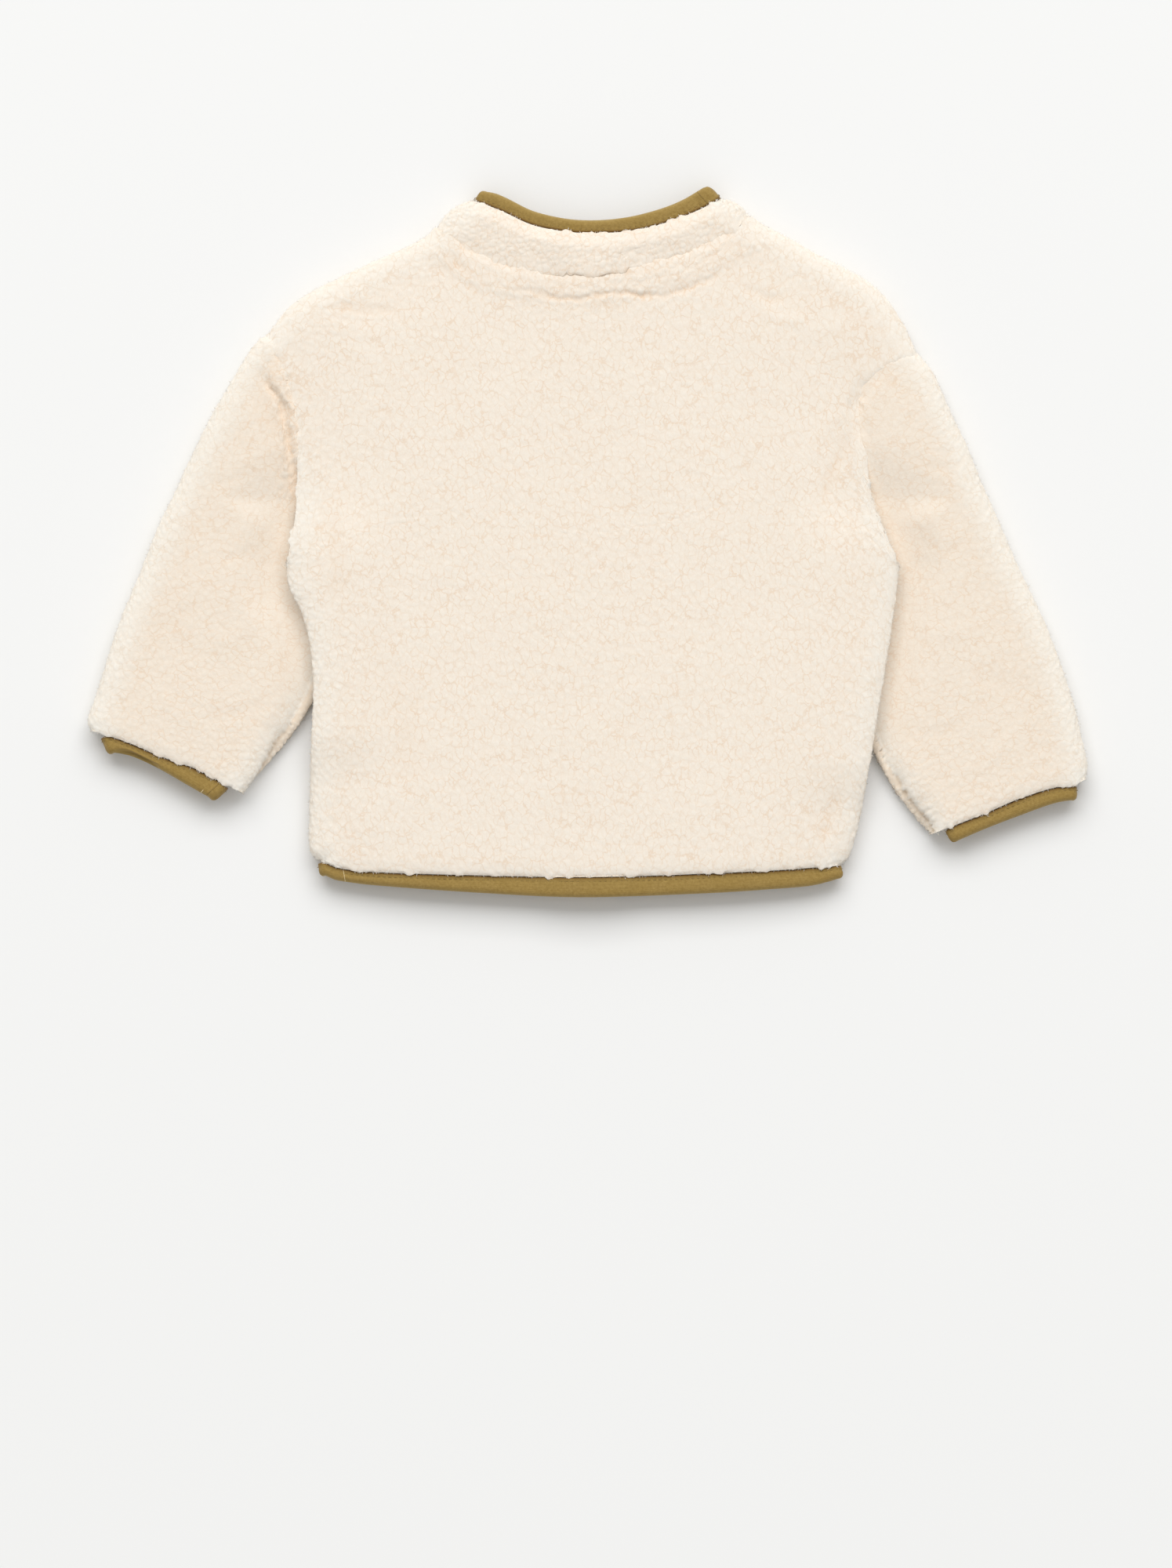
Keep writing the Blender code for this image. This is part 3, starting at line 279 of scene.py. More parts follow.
def trimmed(line, first, last):
    length = length_of(line)
    return along(line, np.linspace(first / length, 1 - last / length, 120))


def at_x(line, x):
    order = np.argsort(line[:, 0])
    return np.interp(x, line[order, 0], line[order, 1])


def distance(points, *lines):
    """Distance from each plan point to the nearest of some polylines.

    The foot on each straight piece is the point's shadow on it, kept between its ends.
    A few thousand points are worked out at a time.
    """
    a = np.vstack([line[:-1] for line in lines])
    step = np.vstack([line[1:] for line in lines]) - a
    size = np.maximum((step**2).sum(1), 1e-9)
    flat = np.asarray(points, float).reshape(-1, 2)
    near = np.empty(len(flat))
    for i in range(0, len(flat), 5000):
        away = flat[i:i + 5000, None] - a
        share = np.clip((away * step).sum(2) / size, 0, 1)
        near[i:i + 5000] = np.sqrt(((away - share[..., None] * step) ** 2).sum(2).min(1))
    return near.reshape(np.shape(points)[:-1])


def ramp(value, start, end):
    """0 before start and 1 after end, smooth between. End may be below start."""
    t = np.clip((value - start) / (end - start), 0, 1)
    return t * t * (3 - 2 * t)


def rounded(away, reach, low, high):
    """Height of a wall that rounds, as a quarter ellipse, from high to low at its edge."""
    t = 1 - np.clip(away / reach, 0, 1)
    return low + (high - low) * np.sqrt(1 - t * t)


def bump(value, place, half_width):
    t = np.clip(np.abs(value - place) / half_width, 0, 1)
    return (1 - t * t) ** 2


def spread(length, step):
    """Shares of a length, a step apart and closer beside both ends."""
    near = np.array([0, 0.3, 0.7, 1.2, 1.8])
    count = max(2, round((length - 5.2) / step))
    return np.concatenate([near, np.linspace(2.6, length - 2.6, count + 1),
                           length - near[::-1]]) / length


LINES = {name: smooth(points) for name, points in LINES_MM.items()}
COLLAR_FOLDS = [np.stack([LINES["neck_back"][k], LINES["collar_top_back"][k]])
                for k in (0, -1)]
OUTLINE = [LINES[n] for n in ("shoulder_left", "shoulder_right", "side_left",
                              "side_right")]
ARMHOLES = [LINES["armhole_left"], LINES["armhole_right"]]


# ---- Uneven surfaces

def mixed(cells, salt):
    """A random number from 0 to 1 for each cell of whole numbers, always the same one."""
    h = (cells[..., 0] * 73856093 ^ cells[..., 1] * 19349663
         ^ cells[..., 2] * 83492791 ^ salt * 2654435761) & 0xFFFFFFFF
    h = ((h ^ (h >> 15)) * 2246822519) & 0xFFFFFFFF
    h = ((h ^ (h >> 13)) * 3266489917) & 0xFFFFFFFF
    return (h ^ (h >> 16)) / 4294967296.0


def drift(p, size, salt):
    """Smooth unevenness from -1 to 1, with one random number at each corner of cubes of
    that size, blended across each cube."""
    q = p / size
    cell = np.floor(q).astype(np.int64)
    f = q - cell
    f = f * f * (3 - 2 * f)
    total = 0
    for corner in itertools.product((0, 1), repeat=3):
        share = np.prod(np.where(corner, f, 1 - f), axis=-1)
        total = total + share * mixed(cell + np.array(corner), salt)
    return 2 * total - 1


def curls(p, size, salt):
    """Distances to the nearest and the second nearest curl centre, in sizes.

    Space is cut in cubes with one centre in each, at a random place.
    """
    q = p / size
    cell = np.floor(q).astype(np.int64)
    first = np.full(q.shape[:-1], 9.0)
    second = first.copy()
    for step in itertools.product((-1, 0, 1), repeat=3):
        c = cell + np.array(step)
        away = sum((c[..., k] + mixed(c, salt + k) - q[..., k]) ** 2 for k in range(3))
        away = np.sqrt(away)
        second = np.minimum(second, np.maximum(first, away))
        first = np.minimum(first, away)
    return first, second


def pile(p):
    """Height of the pile, about -1 to 0.5, and its share of painted light, 0 in a crack to
    1:
    the cracks get painted shade.

    Clumps of curls are low domes. Two neighbours part in a crack where their centres
    are equally far.
    """
    shift = np.stack([drift(p, 5.0, s) for s in (1, 2, 3)], -1) * 1.2
    first, second = curls(p + shift, CURL, 11)
    crack = 1 - ramp(second - first, 0.0, 0.45)
    height = 0.6 * (1 - first**2) - 0.6 * crack + 0.2 * drift(p, 9.0, 41)
    return height, 1 - 0.3 * crack


def creased(p, creases):
    """How far the cloth sinks at plan points, from a table of creases.

    Each is a soft trough along a smooth line, deepest in its middle and gone at its ends.
    """
    sunk = np.zeros(p.shape[:-1])
    for points, depth, half_width in creases:
        line = smooth(points, 5)
        low, high = line.min(0) - half_width, line.max(0) + half_width
        near = ((p > low) & (p < high)).all(-1)
        q = p[near]
        ends = np.minimum(*(np.linalg.norm(q - line[k], axis=-1) for k in (0, -1)))
        flat = np.column_stack([q, q[:, 0] * 0])
        wander = 1 + 0.35 * drift(flat, 7.0, 51)
        sway = np.column_stack([0.9 * drift(flat, 6.0, k) + 0.6 * drift(flat, 2.6, k + 2)
                                for k in (52, 53)])
        sunk[near] += (depth * bump(distance(q + sway, line), 0, half_width)
                       * ramp(ends, 0, 0.3 * length_of(line)) * wander)
    return sunk


# ---- The body's heights

def raised(plan, height):
    return np.dstack([plan, height])


def tuck_lift(p):
    """How high the body lies on the tucked sleeves at plan points p."""
    x, y = p[..., 0], p[..., 1]
    left = ramp(x, -98, -133) * ramp(y, 45, 2) * ramp(y, -132, -100)
    right = ramp(x, 100, 137) * ramp(y, 45, 2) * ramp(y, -148, -116)
    return TUCK_LIFT * (left + right)


def overlap_rise(x):
    return (LIFT_OVER_FRONT + PRESSED - WALL) * np.interp(
        np.abs(x), [PRESSED_FROM, PRESSED_TO], [1, 0])


def front_top(p):
    """Height of the fronts' inner face, on which the back lies."""
    return tuck_lift(p) + WALL + overlap_rise(p[..., 0])


def left_front_top(p):
    pressed = np.interp(p[..., 0], [-PRESSED_TO, -PRESSED_FROM], [WALL, PRESSED])
    return tuck_lift(p) + pressed


def right_front_wall(x):
    underside = np.interp(x, [PRESSED_FROM, PRESSED_TO], [LIFT_OVER_FRONT, 0])
    return WALL + overlap_rise(x) - underside


def back_base(p):
    """Height of the back's inner face."""
    sides = distance(p, *OUTLINE, *ARMHOLES, *COLLAR_FOLDS)
    sunk = bump(np.hypot(p[..., 0] - SAG_CENTRE[0], p[..., 1] - SAG_CENTRE[1]), 0,
                SAG_RADIUS)
    return front_top(p) + SEAM_GAP + AIR * ramp(sides, 0, AIR_REACH) - SAG * sunk


def body_plan(x_columns, step):
    """Plan points of the body: rows from shoulder to hem, each row at its own x.

    Rows start at even lengths down the armhole and the side. A point's y runs evenly
    from the top line to the hem, and is moved so that both sides keep their outlines.
    """
    arm = spread(ARM_LENGTH, step)
    side = spread(SIDE_LENGTH, step)[1:]
    left, right = (np.vstack([along(LINES[f"armhole_{s}"], arm),
                              along(LINES[f"side_{s}"], side)]) for s in ("left", "right"))
    down = np.concatenate([arm * ARM_LENGTH, ARM_LENGTH + side * SIDE_LENGTH])
    share_down = (down / down[-1])[:, None]
    x = x_columns(left[:, :1], right[:, :1])
    top_line = np.vstack([LINES[n] for n in ("shoulder_left", "neck_back",
                                             "shoulder_right")])

    def even(x):
        return ((1 - share_down) * at_x(top_line, x[0])
                + share_down * at_x(LINES["hem"], x[-1]))

    ends = even(np.hstack([left[:, :1], right[:, :1]]))
    share = (x - left[:, :1]) / (right[:, :1] - left[:, :1])
    y = (even(x) + (1 - share) * (left[:, 1:] - ends[:, :1])
         + share * (right[:, 1:] - ends[:, 1:]))
    return np.dstack([x, y]), down


def under_neckline(plan, down):
    """The fronts' plan: the rows down to NECK_FREE sink to the lower front neckline."""
    x = plan[0, :, 0]
    inside = (x > LINES["neck_back"][0, 0]) & (x < LINES["neck_back"][-1, 0])
    drop = np.where(inside, at_x(LINES["neck_front"], x) - at_x(LINES["neck_back"], x), 0)
    fitted = plan.copy()
    fitted[..., 1] += drop * np.clip(1 - down / NECK_FREE, 0, 1)[:, None]
    return fitted


# ---- Meshes

def grid_triangles(rows, columns, closed=False):
    """Two triangles for each cell of a grid of points numbered row by row."""
    i = np.arange(rows - 1)[:, None] * columns
    j = np.arange(columns if closed else columns - 1)[None]
    a, b = i + j, i + (j + 1) % columns
    c, d = b + columns, a + columns
    return np.stack([a, b, c, a, c, d], -1).reshape(-1, 3)


def edge_loops(rows, columns, closed, of_rows, of_columns):
    """The grid's open edges as loops of (row, column), in the same turn as its faces,
    with only the given rows and columns."""
    r, c = np.asarray(of_rows), np.asarray(of_columns)
    if closed:
        back = np.concatenate([c[:1], c[:0:-1]])
        return [np.column_stack([0 * c, c]), np.column_stack([0 * back + r[-1], back])]
    return [np.vstack([np.column_stack([0 * c[:-1], c[:-1]]),
                       np.column_stack([r[:-1], 0 * r[:-1] + c[-1]]),
                       np.column_stack([0 * c[1:] + r[-1], c[:0:-1]]),
                       np.column_stack([r[:0:-1], 0 * r[1:]])])]


def rim_triangles(fine, coarse, picks):
    """Triangles between a fine loop and a coarse one, whose points stand at fine[picks].

    Each short edge goes to the nearest coarse point, and each coarse edge to the fine
    point where that changes.
    """
    count = len(fine)
    change = (picks + np.append(picks[1:], count + picks[0])) // 2
    owner = coarse[np.searchsorted(change, np.arange(count), side="right") % len(picks)]
    short = np.column_stack([np.roll(fine, -1), fine, owner])
    long = np.column_stack([fine[change % count], coarse, np.roll(coarse, -1)])
    return np.vstack([short, long])


def pile_normals(points, triangles, count):
    """A normal for each corner of cloth with a pile, whose first count faces have it and
    whose rim is plain. Fibres stand out to all sides and pass light on, so a slope is lit
    as if it were less steep: each normal is drawn towards straight up or straight down."""
    a, b, c = (points[triangles[:, k]] for k in range(3))
    of_faces = unit(np.cross(b - a, c - a))
    total = np.zeros_like(points)
    np.add.at(total, triangles[:count], of_faces[:count, None])
    total = unit(total)
    total[:, 2] += FLATTENED * ramp(np.abs(total[:, 2]), 0, 0.4) * np.sign(total[:, 2])
    return np.concatenate([unit(total)[triangles[:count]],
                           of_faces[count:, None].repeat(3, 1)])


def mesh_piece(name, points, triangles, materials, which=None, shares=None, uv=None,
               pile_faces=0, normals=None):
    """One object from points in millimetres, turned so that its faces point outwards. The
    first pile_faces faces give the normals of cloth with a pile."""
    a, b, c = (points[triangles[:, k]] for k in range(3))
    if (a * np.cross(b, c)).sum() < 0:
        triangles = triangles[:, ::-1]
    mesh = bpy.data.meshes.new(name)
    mesh.from_pydata((points * MM).tolist(), [], triangles.tolist())
    for material in materials:
        mesh.materials.append(material)
    if which is not None:
        mesh.polygons.foreach_set("material_index", which.astype(np.int32))
    for share, values in (shares or {}).items():
        mesh.attributes.new(share, "FLOAT", "POINT").data.foreach_set(
            "value", np.ravel(values).astype(np.float32))
    if uv is not None:
        layer = mesh.uv_layers.new(name="UVMap")
        layer.data.foreach_set("uv", uv[triangles.ravel()].astype(np.float32).ravel())
    mesh.shade_smooth()
    if pile_faces:
        mesh.normals_split_custom_set(
            pile_normals(points, triangles, pile_faces).reshape(-1, 3).tolist())
    if normals is not None:
        mesh.normals_split_custom_set_from_vertices(normals.tolist())
    made = bpy.data.objects.new(name, mesh)
    bpy.context.scene.collection.objects.link(made)
    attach(made, "root")
    return made


def chosen(count, step):
    """About every step-th number below count, with the first and the last."""
    return np.unique(np.linspace(0, count - 1, max(2, round(count / step))).round()
                     .astype(int))


def cloth_piece(name, face, wrong, shares, closed=False, step=6, pile=None):
    """A closed wall of cloth: its pile face as a fine grid, its wrong side as a coarse
    one under some of the same rows and columns, and a rim between the two."""
    rows, columns = face.shape[:2]
    of_rows = chosen(rows, step)
    of_columns = chosen(columns, step)
    if closed:
        of_columns = of_columns[:-1]
    below = wrong[np.ix_(of_rows, of_columns)]
    count, width = rows * columns, len(of_columns)
    fine = grid_triangles(rows, columns, closed)
    coarse = count + grid_triangles(len(of_rows), width, closed)[:, ::-1]
    parts = [fine, coarse]
    row_number = np.zeros(rows, int)
    row_number[of_rows] = np.arange(len(of_rows))
    column_number = np.zeros(columns, int)
    column_number[of_columns] = np.arange(width)
    for whole, few in zip(
            edge_loops(rows, columns, closed, np.arange(rows), np.arange(columns)),
            edge_loops(rows, columns, closed, of_rows, of_columns)):
        whole_ids = whole[:, 0] * columns + whole[:, 1]
        few_ids = few[:, 0] * columns + few[:, 1]
        picks = np.flatnonzero(np.isin(whole_ids, few_ids))
        below_ids = count + row_number[few[:, 0]] * width + column_number[few[:, 1]]
        parts.append(rim_triangles(whole_ids, below_ids, picks))
    triangles = np.vstack(parts)
    which = np.zeros(len(triangles), int)
    which[len(fine):len(fine) + len(coarse)] = 1
    points = np.vstack([face.reshape(-1, 3), below.reshape(-1, 3)])
    wrong_side = np.full(len(points) - count, 0.5)
    shares = {key: np.append(value, wrong_side) for key, value in shares.items()}
    made = mesh_piece(name, points, triangles, [pile or SHERPA, BACKING], which, shares,
                      pile_faces=len(fine) + len(coarse))
    return made


def normals_of(face, sign, closed):
    """Outward unit normals: the cross product of the steps down and across the grid."""
    down = np.gradient(face, axis=0)
    if closed:
        across = np.roll(face, -1, 1) - np.roll(face, 1, 1)
    else:
        across = np.gradient(face, axis=1)
    return unit(np.cross(down, across) * sign)


def napped(face, sign, closed=False, amount=1.0, stretch=(1, 1, 1)):
    """The face moved along its normals by the pile, kept on the ground, its share of
    painted light, lower where painted shade falls in the cracks, and its normals."""
    normal = normals_of(face, sign, closed)
    height, colour = pile(face * np.array(stretch))
    colour = 1 - (1 - colour) * np.clip(amount, 0, 1)
    moved = face + normal * (CURL_DEPTH * amount * (height - 0.1))[..., None]
    moved[..., 2] = np.maximum(moved[..., 2], PILE_GAP)
    return moved, colour, normal


# ---- Materials

def hex_colour(code):
    """A colour of a picture, as a hex code, as the linear one that the shader needs."""
    channels = [int(code[i:i + 2], 16) / 255 for i in (1, 3, 5)]
    return (*[c / 12.92 if c <= 0.04045 else ((c + 0.055) / 1.055) ** 2.4
              for c in channels], 1)


def node(tree, kind, settings=None, **links):
    """Adds a node. Settings are its own values, and links are its inputs by name, each
    a socket to join or a value."""
    made = tree.nodes.new("ShaderNode" + kind)
    for key, value in (settings or {}).items():
        setattr(made, key, value)
    for key, value in links.items():
        socket = made.inputs[int(key[1:])] if key[0] == "n" and key[1:].isdigit() else (
            made.inputs[key.replace("_", " ")])
        if isinstance(value, bpy.types.NodeSocket):
            tree.links.new(value, socket)
        else:
            socket.default_value = value
    return made


def new_material(name):
    material = bpy.data.materials.new(name)
    material.use_nodes = True
    tree = material.node_tree
    return material, tree, tree.nodes["Principled BSDF"]


def mixed_colour(tree, share, low, high):
    made = node(tree, "Mix", {"data_type": "RGBA"}, n0=share)
    for socket, value in ((made.inputs[6], low), (made.inputs[7], high)):
        if isinstance(value, bpy.types.NodeSocket):
            tree.links.new(value, socket)
        else:
            socket.default_value = hex_colour(value)
    return made.outputs[2]


def maths(tree, operation, *values, clamp=False):
    return node(tree, "Math", {"operation": operation, "use_clamp": clamp},
                **{f"n{i}": value for i, value in enumerate(values)}).outputs[0]


def noise(tree, place, scale, detail, out="Fac", **more):
    return node(tree, "TexNoise", Vector=place, Scale=scale, Detail=detail,
                **more).outputs[out]


def remapped(tree, value, ends, to, kind="LINEAR"):
    """A value taken from one pair of ends to another, and kept between them."""
    return node(tree, "MapRange", {"interpolation_type": kind}, n0=value, n1=ends[0],
                n2=ends[1], n3=to[0], n4=to[1]).outputs[0]


def relieved(tree, shader, height, strength, depth):
    relief = node(tree, "Bump", Strength=strength, Distance=depth, Height=height)
    tree.links.new(relief.outputs["Normal"], shader.inputs["Normal"])


def finished(shader, **values):
    for key, value in values.items():
        shader.inputs[key.replace("_", " ")].default_value = value


def place_in(tree):
    return node(tree, "TexCoord").outputs["Object"]


def curly_pile_material(name, stretch, top):
    """Cream polyester sherpa, a knitted pile that is tumbled until it curls.

    To the eye it is matt and cream, with cracks between the curls, which run more one
    way than the other. The peach in the cracks is painted shade, and a pale painted
    highlight near its edges, where it is seen edge-on, stands for light that passes
    through the pile there. The fibres, 0.02 mm thick, are drawn as 0.6 mm flecks, which
    is as fine as it shows.
    """
    material, tree, shader = new_material(name)
    place = place_in(tree)
    # The share of painted light: 1 on the lit curls, less where painted shade stands for
    # the shade in cracks, creases, seams and the sleeves' under layers.
    painted_light_share = node(tree, "Attribute", {"attribute_name": "painted_light_share"}).outputs["Fac"]
    # The painted edge light: a paler colour towards the edges, standing for light that
    # passes through the thin pile there.
    painted_edge_light = node(tree, "Attribute", {"attribute_name": "painted_edge_light"}).outputs["Fac"]
    sway = noise(tree, place, 300.0, 3.0, "Color")
    bent = node(tree, "VectorMath", {"operation": "MULTIPLY_ADD"}, n0=sway,
                n1=(0.0045, 0.0045, 0.0045), n2=place).outputs[0]
    drawn = node(tree, "Mapping", Vector=bent, Scale=stretch).outputs[0]
    clump, part = (node(tree, "TexVoronoi", {"feature": "DISTANCE_TO_EDGE"}, Vector=drawn,
                        Scale=1000 / size).outputs["Distance"]
                   for size in (DRAWN_CURL, SMALL_CURL))
    broken = noise(tree, place, 150.0, 1.0)
    shut = remapped(tree, broken, (0.36, 0.6), (0.3, 1.0))
    line = remapped(tree, clump, (0.0, 0.11), (1.0, 0.0), "SMOOTHSTEP")
    thin = remapped(tree, part, (0.0, 0.22), (0.25, 0.0), "SMOOTHSTEP")
    crack = maths(tree, "MULTIPLY_ADD", line, shut, thin)
    # Painted shade: how much of the cracks' darker colour shows, along the crack lines and
    # where the pieces paint shade into cracks, creases and seams.
    hollow = maths(tree, "MULTIPLY_ADD", crack, -0.5, painted_light_share, clamp=True)
    # The curls' colour, paled towards the edges by the painted edge light.
    tuft = mixed_colour(tree, painted_edge_light, top, "#F6F2E9")
    # Painted shade in the cracks: a darker peach, also paled by the painted edge light.
    painted_crack_shade_colour = mixed_colour(tree, painted_edge_light, "#E9D0B6", "#EBDFCE")
    tree.links.new(mixed_colour(tree, hollow, painted_crack_shade_colour, tuft), shader.inputs["Base Color"])
    fleck = noise(tree, place, 800.0, 2.0, Roughness=0.6)
    relieved(tree, shader, maths(tree, "MULTIPLY_ADD", thin, -0.8, fleck), 0.1, 0.0007)
    finished(shader, Roughness=0.95, Specular_IOR_Level=0.15, Sheen_Weight=0.3,
             Sheen_Roughness=0.5, Sheen_Tint=hex_colour("#FFF8EE"))
    return material


def knitted_backing_material():
    """The fleece's wrong side, a fine polyester knit. To the eye it is smooth, matt and a
    little greyer than the pile, with rows of loops 1.2 mm apart."""
    material, tree, shader = new_material("knitted_backing")
    rows = node(tree, "TexWave", {"bands_direction": "X"}, Vector=place_in(tree),
                Scale=260.0, Distortion=1.5, Detail=2.0).outputs["Fac"]
    colour = mixed_colour(tree, rows, "#E2D6C4", "#EEE4D4")
    tree.links.new(colour, shader.inputs["Base Color"])
    relieved(tree, shader, rows, 0.4, 0.0004)
    finished(shader, Roughness=0.9, Specular_IOR_Level=0.2)
    return material


def jersey_binding_material():
    """Olive cotton jersey, cut as tape, folded over the edge and stitched. To the eye it
    is matt and a little brushed, with fine wales along it, 0.5 mm apart but drawn at
    0.9 mm to show at all. A painted highlight makes it paler at its fold, and painted
    shade makes it darker at its root, where the pile overhangs it. Across the
    tape, the UV map counts its profile's columns in thousandths, with the fold at 11."""
    material, tree, shader = new_material("olive_jersey_tape")
    tape = node(tree, "TexCoord").outputs["UV"]
    place = place_in(tree)
    wale = node(tree, "TexWave", {"bands_direction": "Y"}, Vector=tape, Scale=350.0,
                Distortion=0.8, Detail=2.0).outputs["Fac"]
    slub = noise(tree, place, 700.0, 4.0, Roughness=0.7)
    worn = maths(tree, "MULTIPLY", noise(tree, place, 60.0, 2.0), 0.6)
    thread = mixed_colour(tree, slub, "#6E5218", "#BFA262")
    colour = mixed_colour(tree, worn, thread, "#967A3A")
    across = node(tree, "SeparateXYZ", Vector=tape).outputs["Y"]
    off_edge = maths(tree, "ABSOLUTE", maths(tree, "SUBTRACT", across, 0.011))
    # Painted highlight: paler along the fold.
    at_edge = remapped(tree, off_edge, (0.0, 0.0025), (0.5, 0.0))
    colour = mixed_colour(tree, at_edge, colour, "#B69C60")
    # Painted shade: darker at the root, under the overhanging pile.
    painted_root_shade = remapped(tree, off_edge, (0.0085, 0.0105), (0.0, 0.7))
    colour = mixed_colour(tree, painted_root_shade, colour, "#6B4A20")
    tree.links.new(colour, shader.inputs["Base Color"])
    relieved(tree, shader, maths(tree, "MULTIPLY_ADD", wale, 0.25, slub), 0.6, 0.0003)
    finished(shader, Roughness=0.85, Specular_IOR_Level=0.25, Sheen_Weight=0.15,
             Sheen_Roughness=0.5)
    return material


def speckled_material(name, scale, detail, low, high, **values):
    material, tree, shader = new_material(name)
    share = noise(tree, place_in(tree), scale, detail)
    tree.links.new(mixed_colour(tree, share, low, high), shader.inputs["Base Color"])
    finished(shader, **values)
    return material


def sewing_thread_material(name, low, high):
    """Polyester sewing thread, smoother than the tape. The seams' is of the binding's
    colour, a little darker, and the tacking left in the hem is pale."""
    return speckled_material(name, 1500.0, 1.0, low, high, Roughness=0.6)


def antique_brass_material():
    """Press studs of stamped brass with an antique plating, dull and a little darker in
    the hollows."""
    return speckled_material("antique_brass", 900.0, 3.0, "#7A6840", "#9C8754",
                             Metallic=1.0, Roughness=0.42)


def floor_material():
    """A plain matt white floor."""
    material, _, shader = new_material("matt_white_floor")
    finished(shader, Base_Color=hex_colour("#F4F4F3"), Roughness=0.9,
             Specular_IOR_Level=0.1)
    return material


SHERPA = curly_pile_material("curly_sherpa_pile", (1.25, 0.8, 1.0), "#F5ECDF")
SLEEVE_SHERPA = curly_pile_material("curly_sherpa_pile_of_the_sleeves", (0.8, 1.25, 1.0),
                                    "#F3E8D9")
BACKING = knitted_backing_material()
JERSEY = jersey_binding_material()
THREAD = sewing_thread_material("olive_sewing_thread", "#7C6229", "#9A8044")
TACKING = sewing_thread_material("pale_tacking_thread", "#D8C08C", "#EAD9AE")
BRASS = antique_brass_material()


# ---- Fleece pieces

def plan_drift(plan, size, salt):
    """Smooth unevenness from -1 to 1 over the plan."""
    return drift(np.dstack([plan, np.zeros(plan.shape[:2])]), size, salt)


def body_edges(plan, part):
    """Distances from the outline, the armholes, the neckline and the hem."""
    return (distance(plan, *lines) for lines in (
        OUTLINE, ARMHOLES, [LINES[f"neck_{part}"]], [LINES["hem"]]))


def wall_between(*edges):
    """A wall that rounds down to its edges, each of them the distance from it, how far in
    the rounding reaches and the height that is left there."""
    return np.min([rounded(away, reach, low, WALL) for away, reach, low in edges], axis=0)


def make_back():
    """The back. Height is the inner face plus the wall, which rounds down to its seams,
    plus the seam allowance's ridge below the neck, less the creases."""
    across = spread(BODY_WIDTH, 1.06)
    plan, down = body_plan(lambda left, right: left + (right - left) * across, 1.06)
    x, y = plan[..., 0], plan[..., 1]
    outline, armhole, neck, hem = body_edges(plan, "back")
    base = back_base(plan)
    step, dent = armhole_profile(plan)
    wall = wall_between(
        (outline, OUTER_ROUND, OUTER_SEAM), (armhole, 4.5, WALL - 1.2 * step),
        (neck, SEAM_ROUND, SEAM_FACE), (hem, BOUND_ROUND, BOUND_EDGE))
    inside = ramp(outline, 0, 14)
    wall += 0.8 * ramp(neck, 0, 4) * ramp(neck, 18, 11) * inside
    wall *= 1 - tuck_lift(plan) * (0.45 + 0.4 * ramp(y, -10, 30)) / WALL
    wall -= 0.7 * overlap_rise(x) + dent
    wall += (0.35 * plan_drift(plan, 38, 61) + 0.15 * plan_drift(plan, 17, 62)) * inside
    sunk = creased(plan, BACK_CREASES) * inside
    edge = np.minimum(outline, armhole + 12 * (1 - step))
    amount = 0.4 + 0.2 * ramp(edge, 34, 8) + 0.3 * ramp(outline, 9, 1)
    amount += 0.3 * ramp(neck, 26, 14) * inside
    face, painted_light_share, normal = napped(raised(plan, base + wall - sunk), 1, amount=amount)
    at_hem_ends = bump(x, -144, 18) + 0.5 * bump(x, 137, 8)
    lap_over(face, hem, np.array([0, -1]), 0.8 - 1.7 * at_hem_ends)
    turn_under(face, plan, base + TAPE)
    at_arm = (down <= ARM_LENGTH)[:, None]
    armhole_here = np.where(at_arm, armhole, FAR)
    lap_over(face, armhole_here, np.dstack([np.sign(x), 0 * x]), step)
    for k, near in ((0, np.s_[:, :8]), (-1, np.s_[:, -8:])):
        face[1:-1, k, :2] = np.where(at_arm, plan[:, k], face[:, k, :2])[1:-1]
        face[1:-1, k, 2] -= np.where(at_arm[:, 0], 2.2 * step[:, k], 0)[1:-1]
        closed = 1 - step[near]
        towards = outward(plan[:, k], np.array([-600 - 1200 * k, 0]))[:, None]
        dive_under(face[near], armhole_here[near], towards * closed[..., None], closed)
    dive_under(face[:8], neck[:8], np.array([0, 1]), drop=NECK_DROP)
    # Painted edge light: paler towards the outline, towards the armholes where the body
    # steps onto the sleeve, and at the hem.
    painted_edge_light = 0.6 * ramp(edge, 20, 1) + 0.3 * ramp(hem, 8, 0)
    # Painted shade: darker in the creases and along the neck seam.
    painted_light_share = painted_light_share - 0.3 * np.clip(sunk, 0, 1) - 0.15 * ramp(neck, 2.5, 0)
    made = cloth_piece("back_fleece", face, raised(plan, base),
                       {"painted_light_share": painted_light_share, "painted_edge_light": painted_edge_light})
    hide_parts("back")
    hem_tuft = np.hypot(x - 129, y + 174.2)
    return made, [edge_roots(face, normal, *row) for row in (
        (outline < 3, 3200, 1), (hem < 1.2, 450, 2), (hem_tuft < 2.0, 60, 4),
        ((armhole < 1.5) & (step > 0.4), 500, 3))]


def armhole_profile(p):
    """Shares of the step from body down to sleeve, by how far up the armhole plan points
    are, and how far the dent between the two sinks there."""
    at_left = p[..., 0] < 0
    step, dent = (np.where(at_left, *(
        np.interp(p[..., 1], *np.array(ARMHOLE_PROFILES[side]).T[[0, column]])
        for side in ("left", "right"))) for column in (1, 2))
    width = np.where(at_left, *DENT_WIDTHS.values())
    away = distance(p, *ARMHOLES) + 0.8 * plan_drift(p, 6.0, 55)
    return step, dent * bump(away, 0, width) * ramp(distance(p, *OUTLINE[:2]), 0, 8)


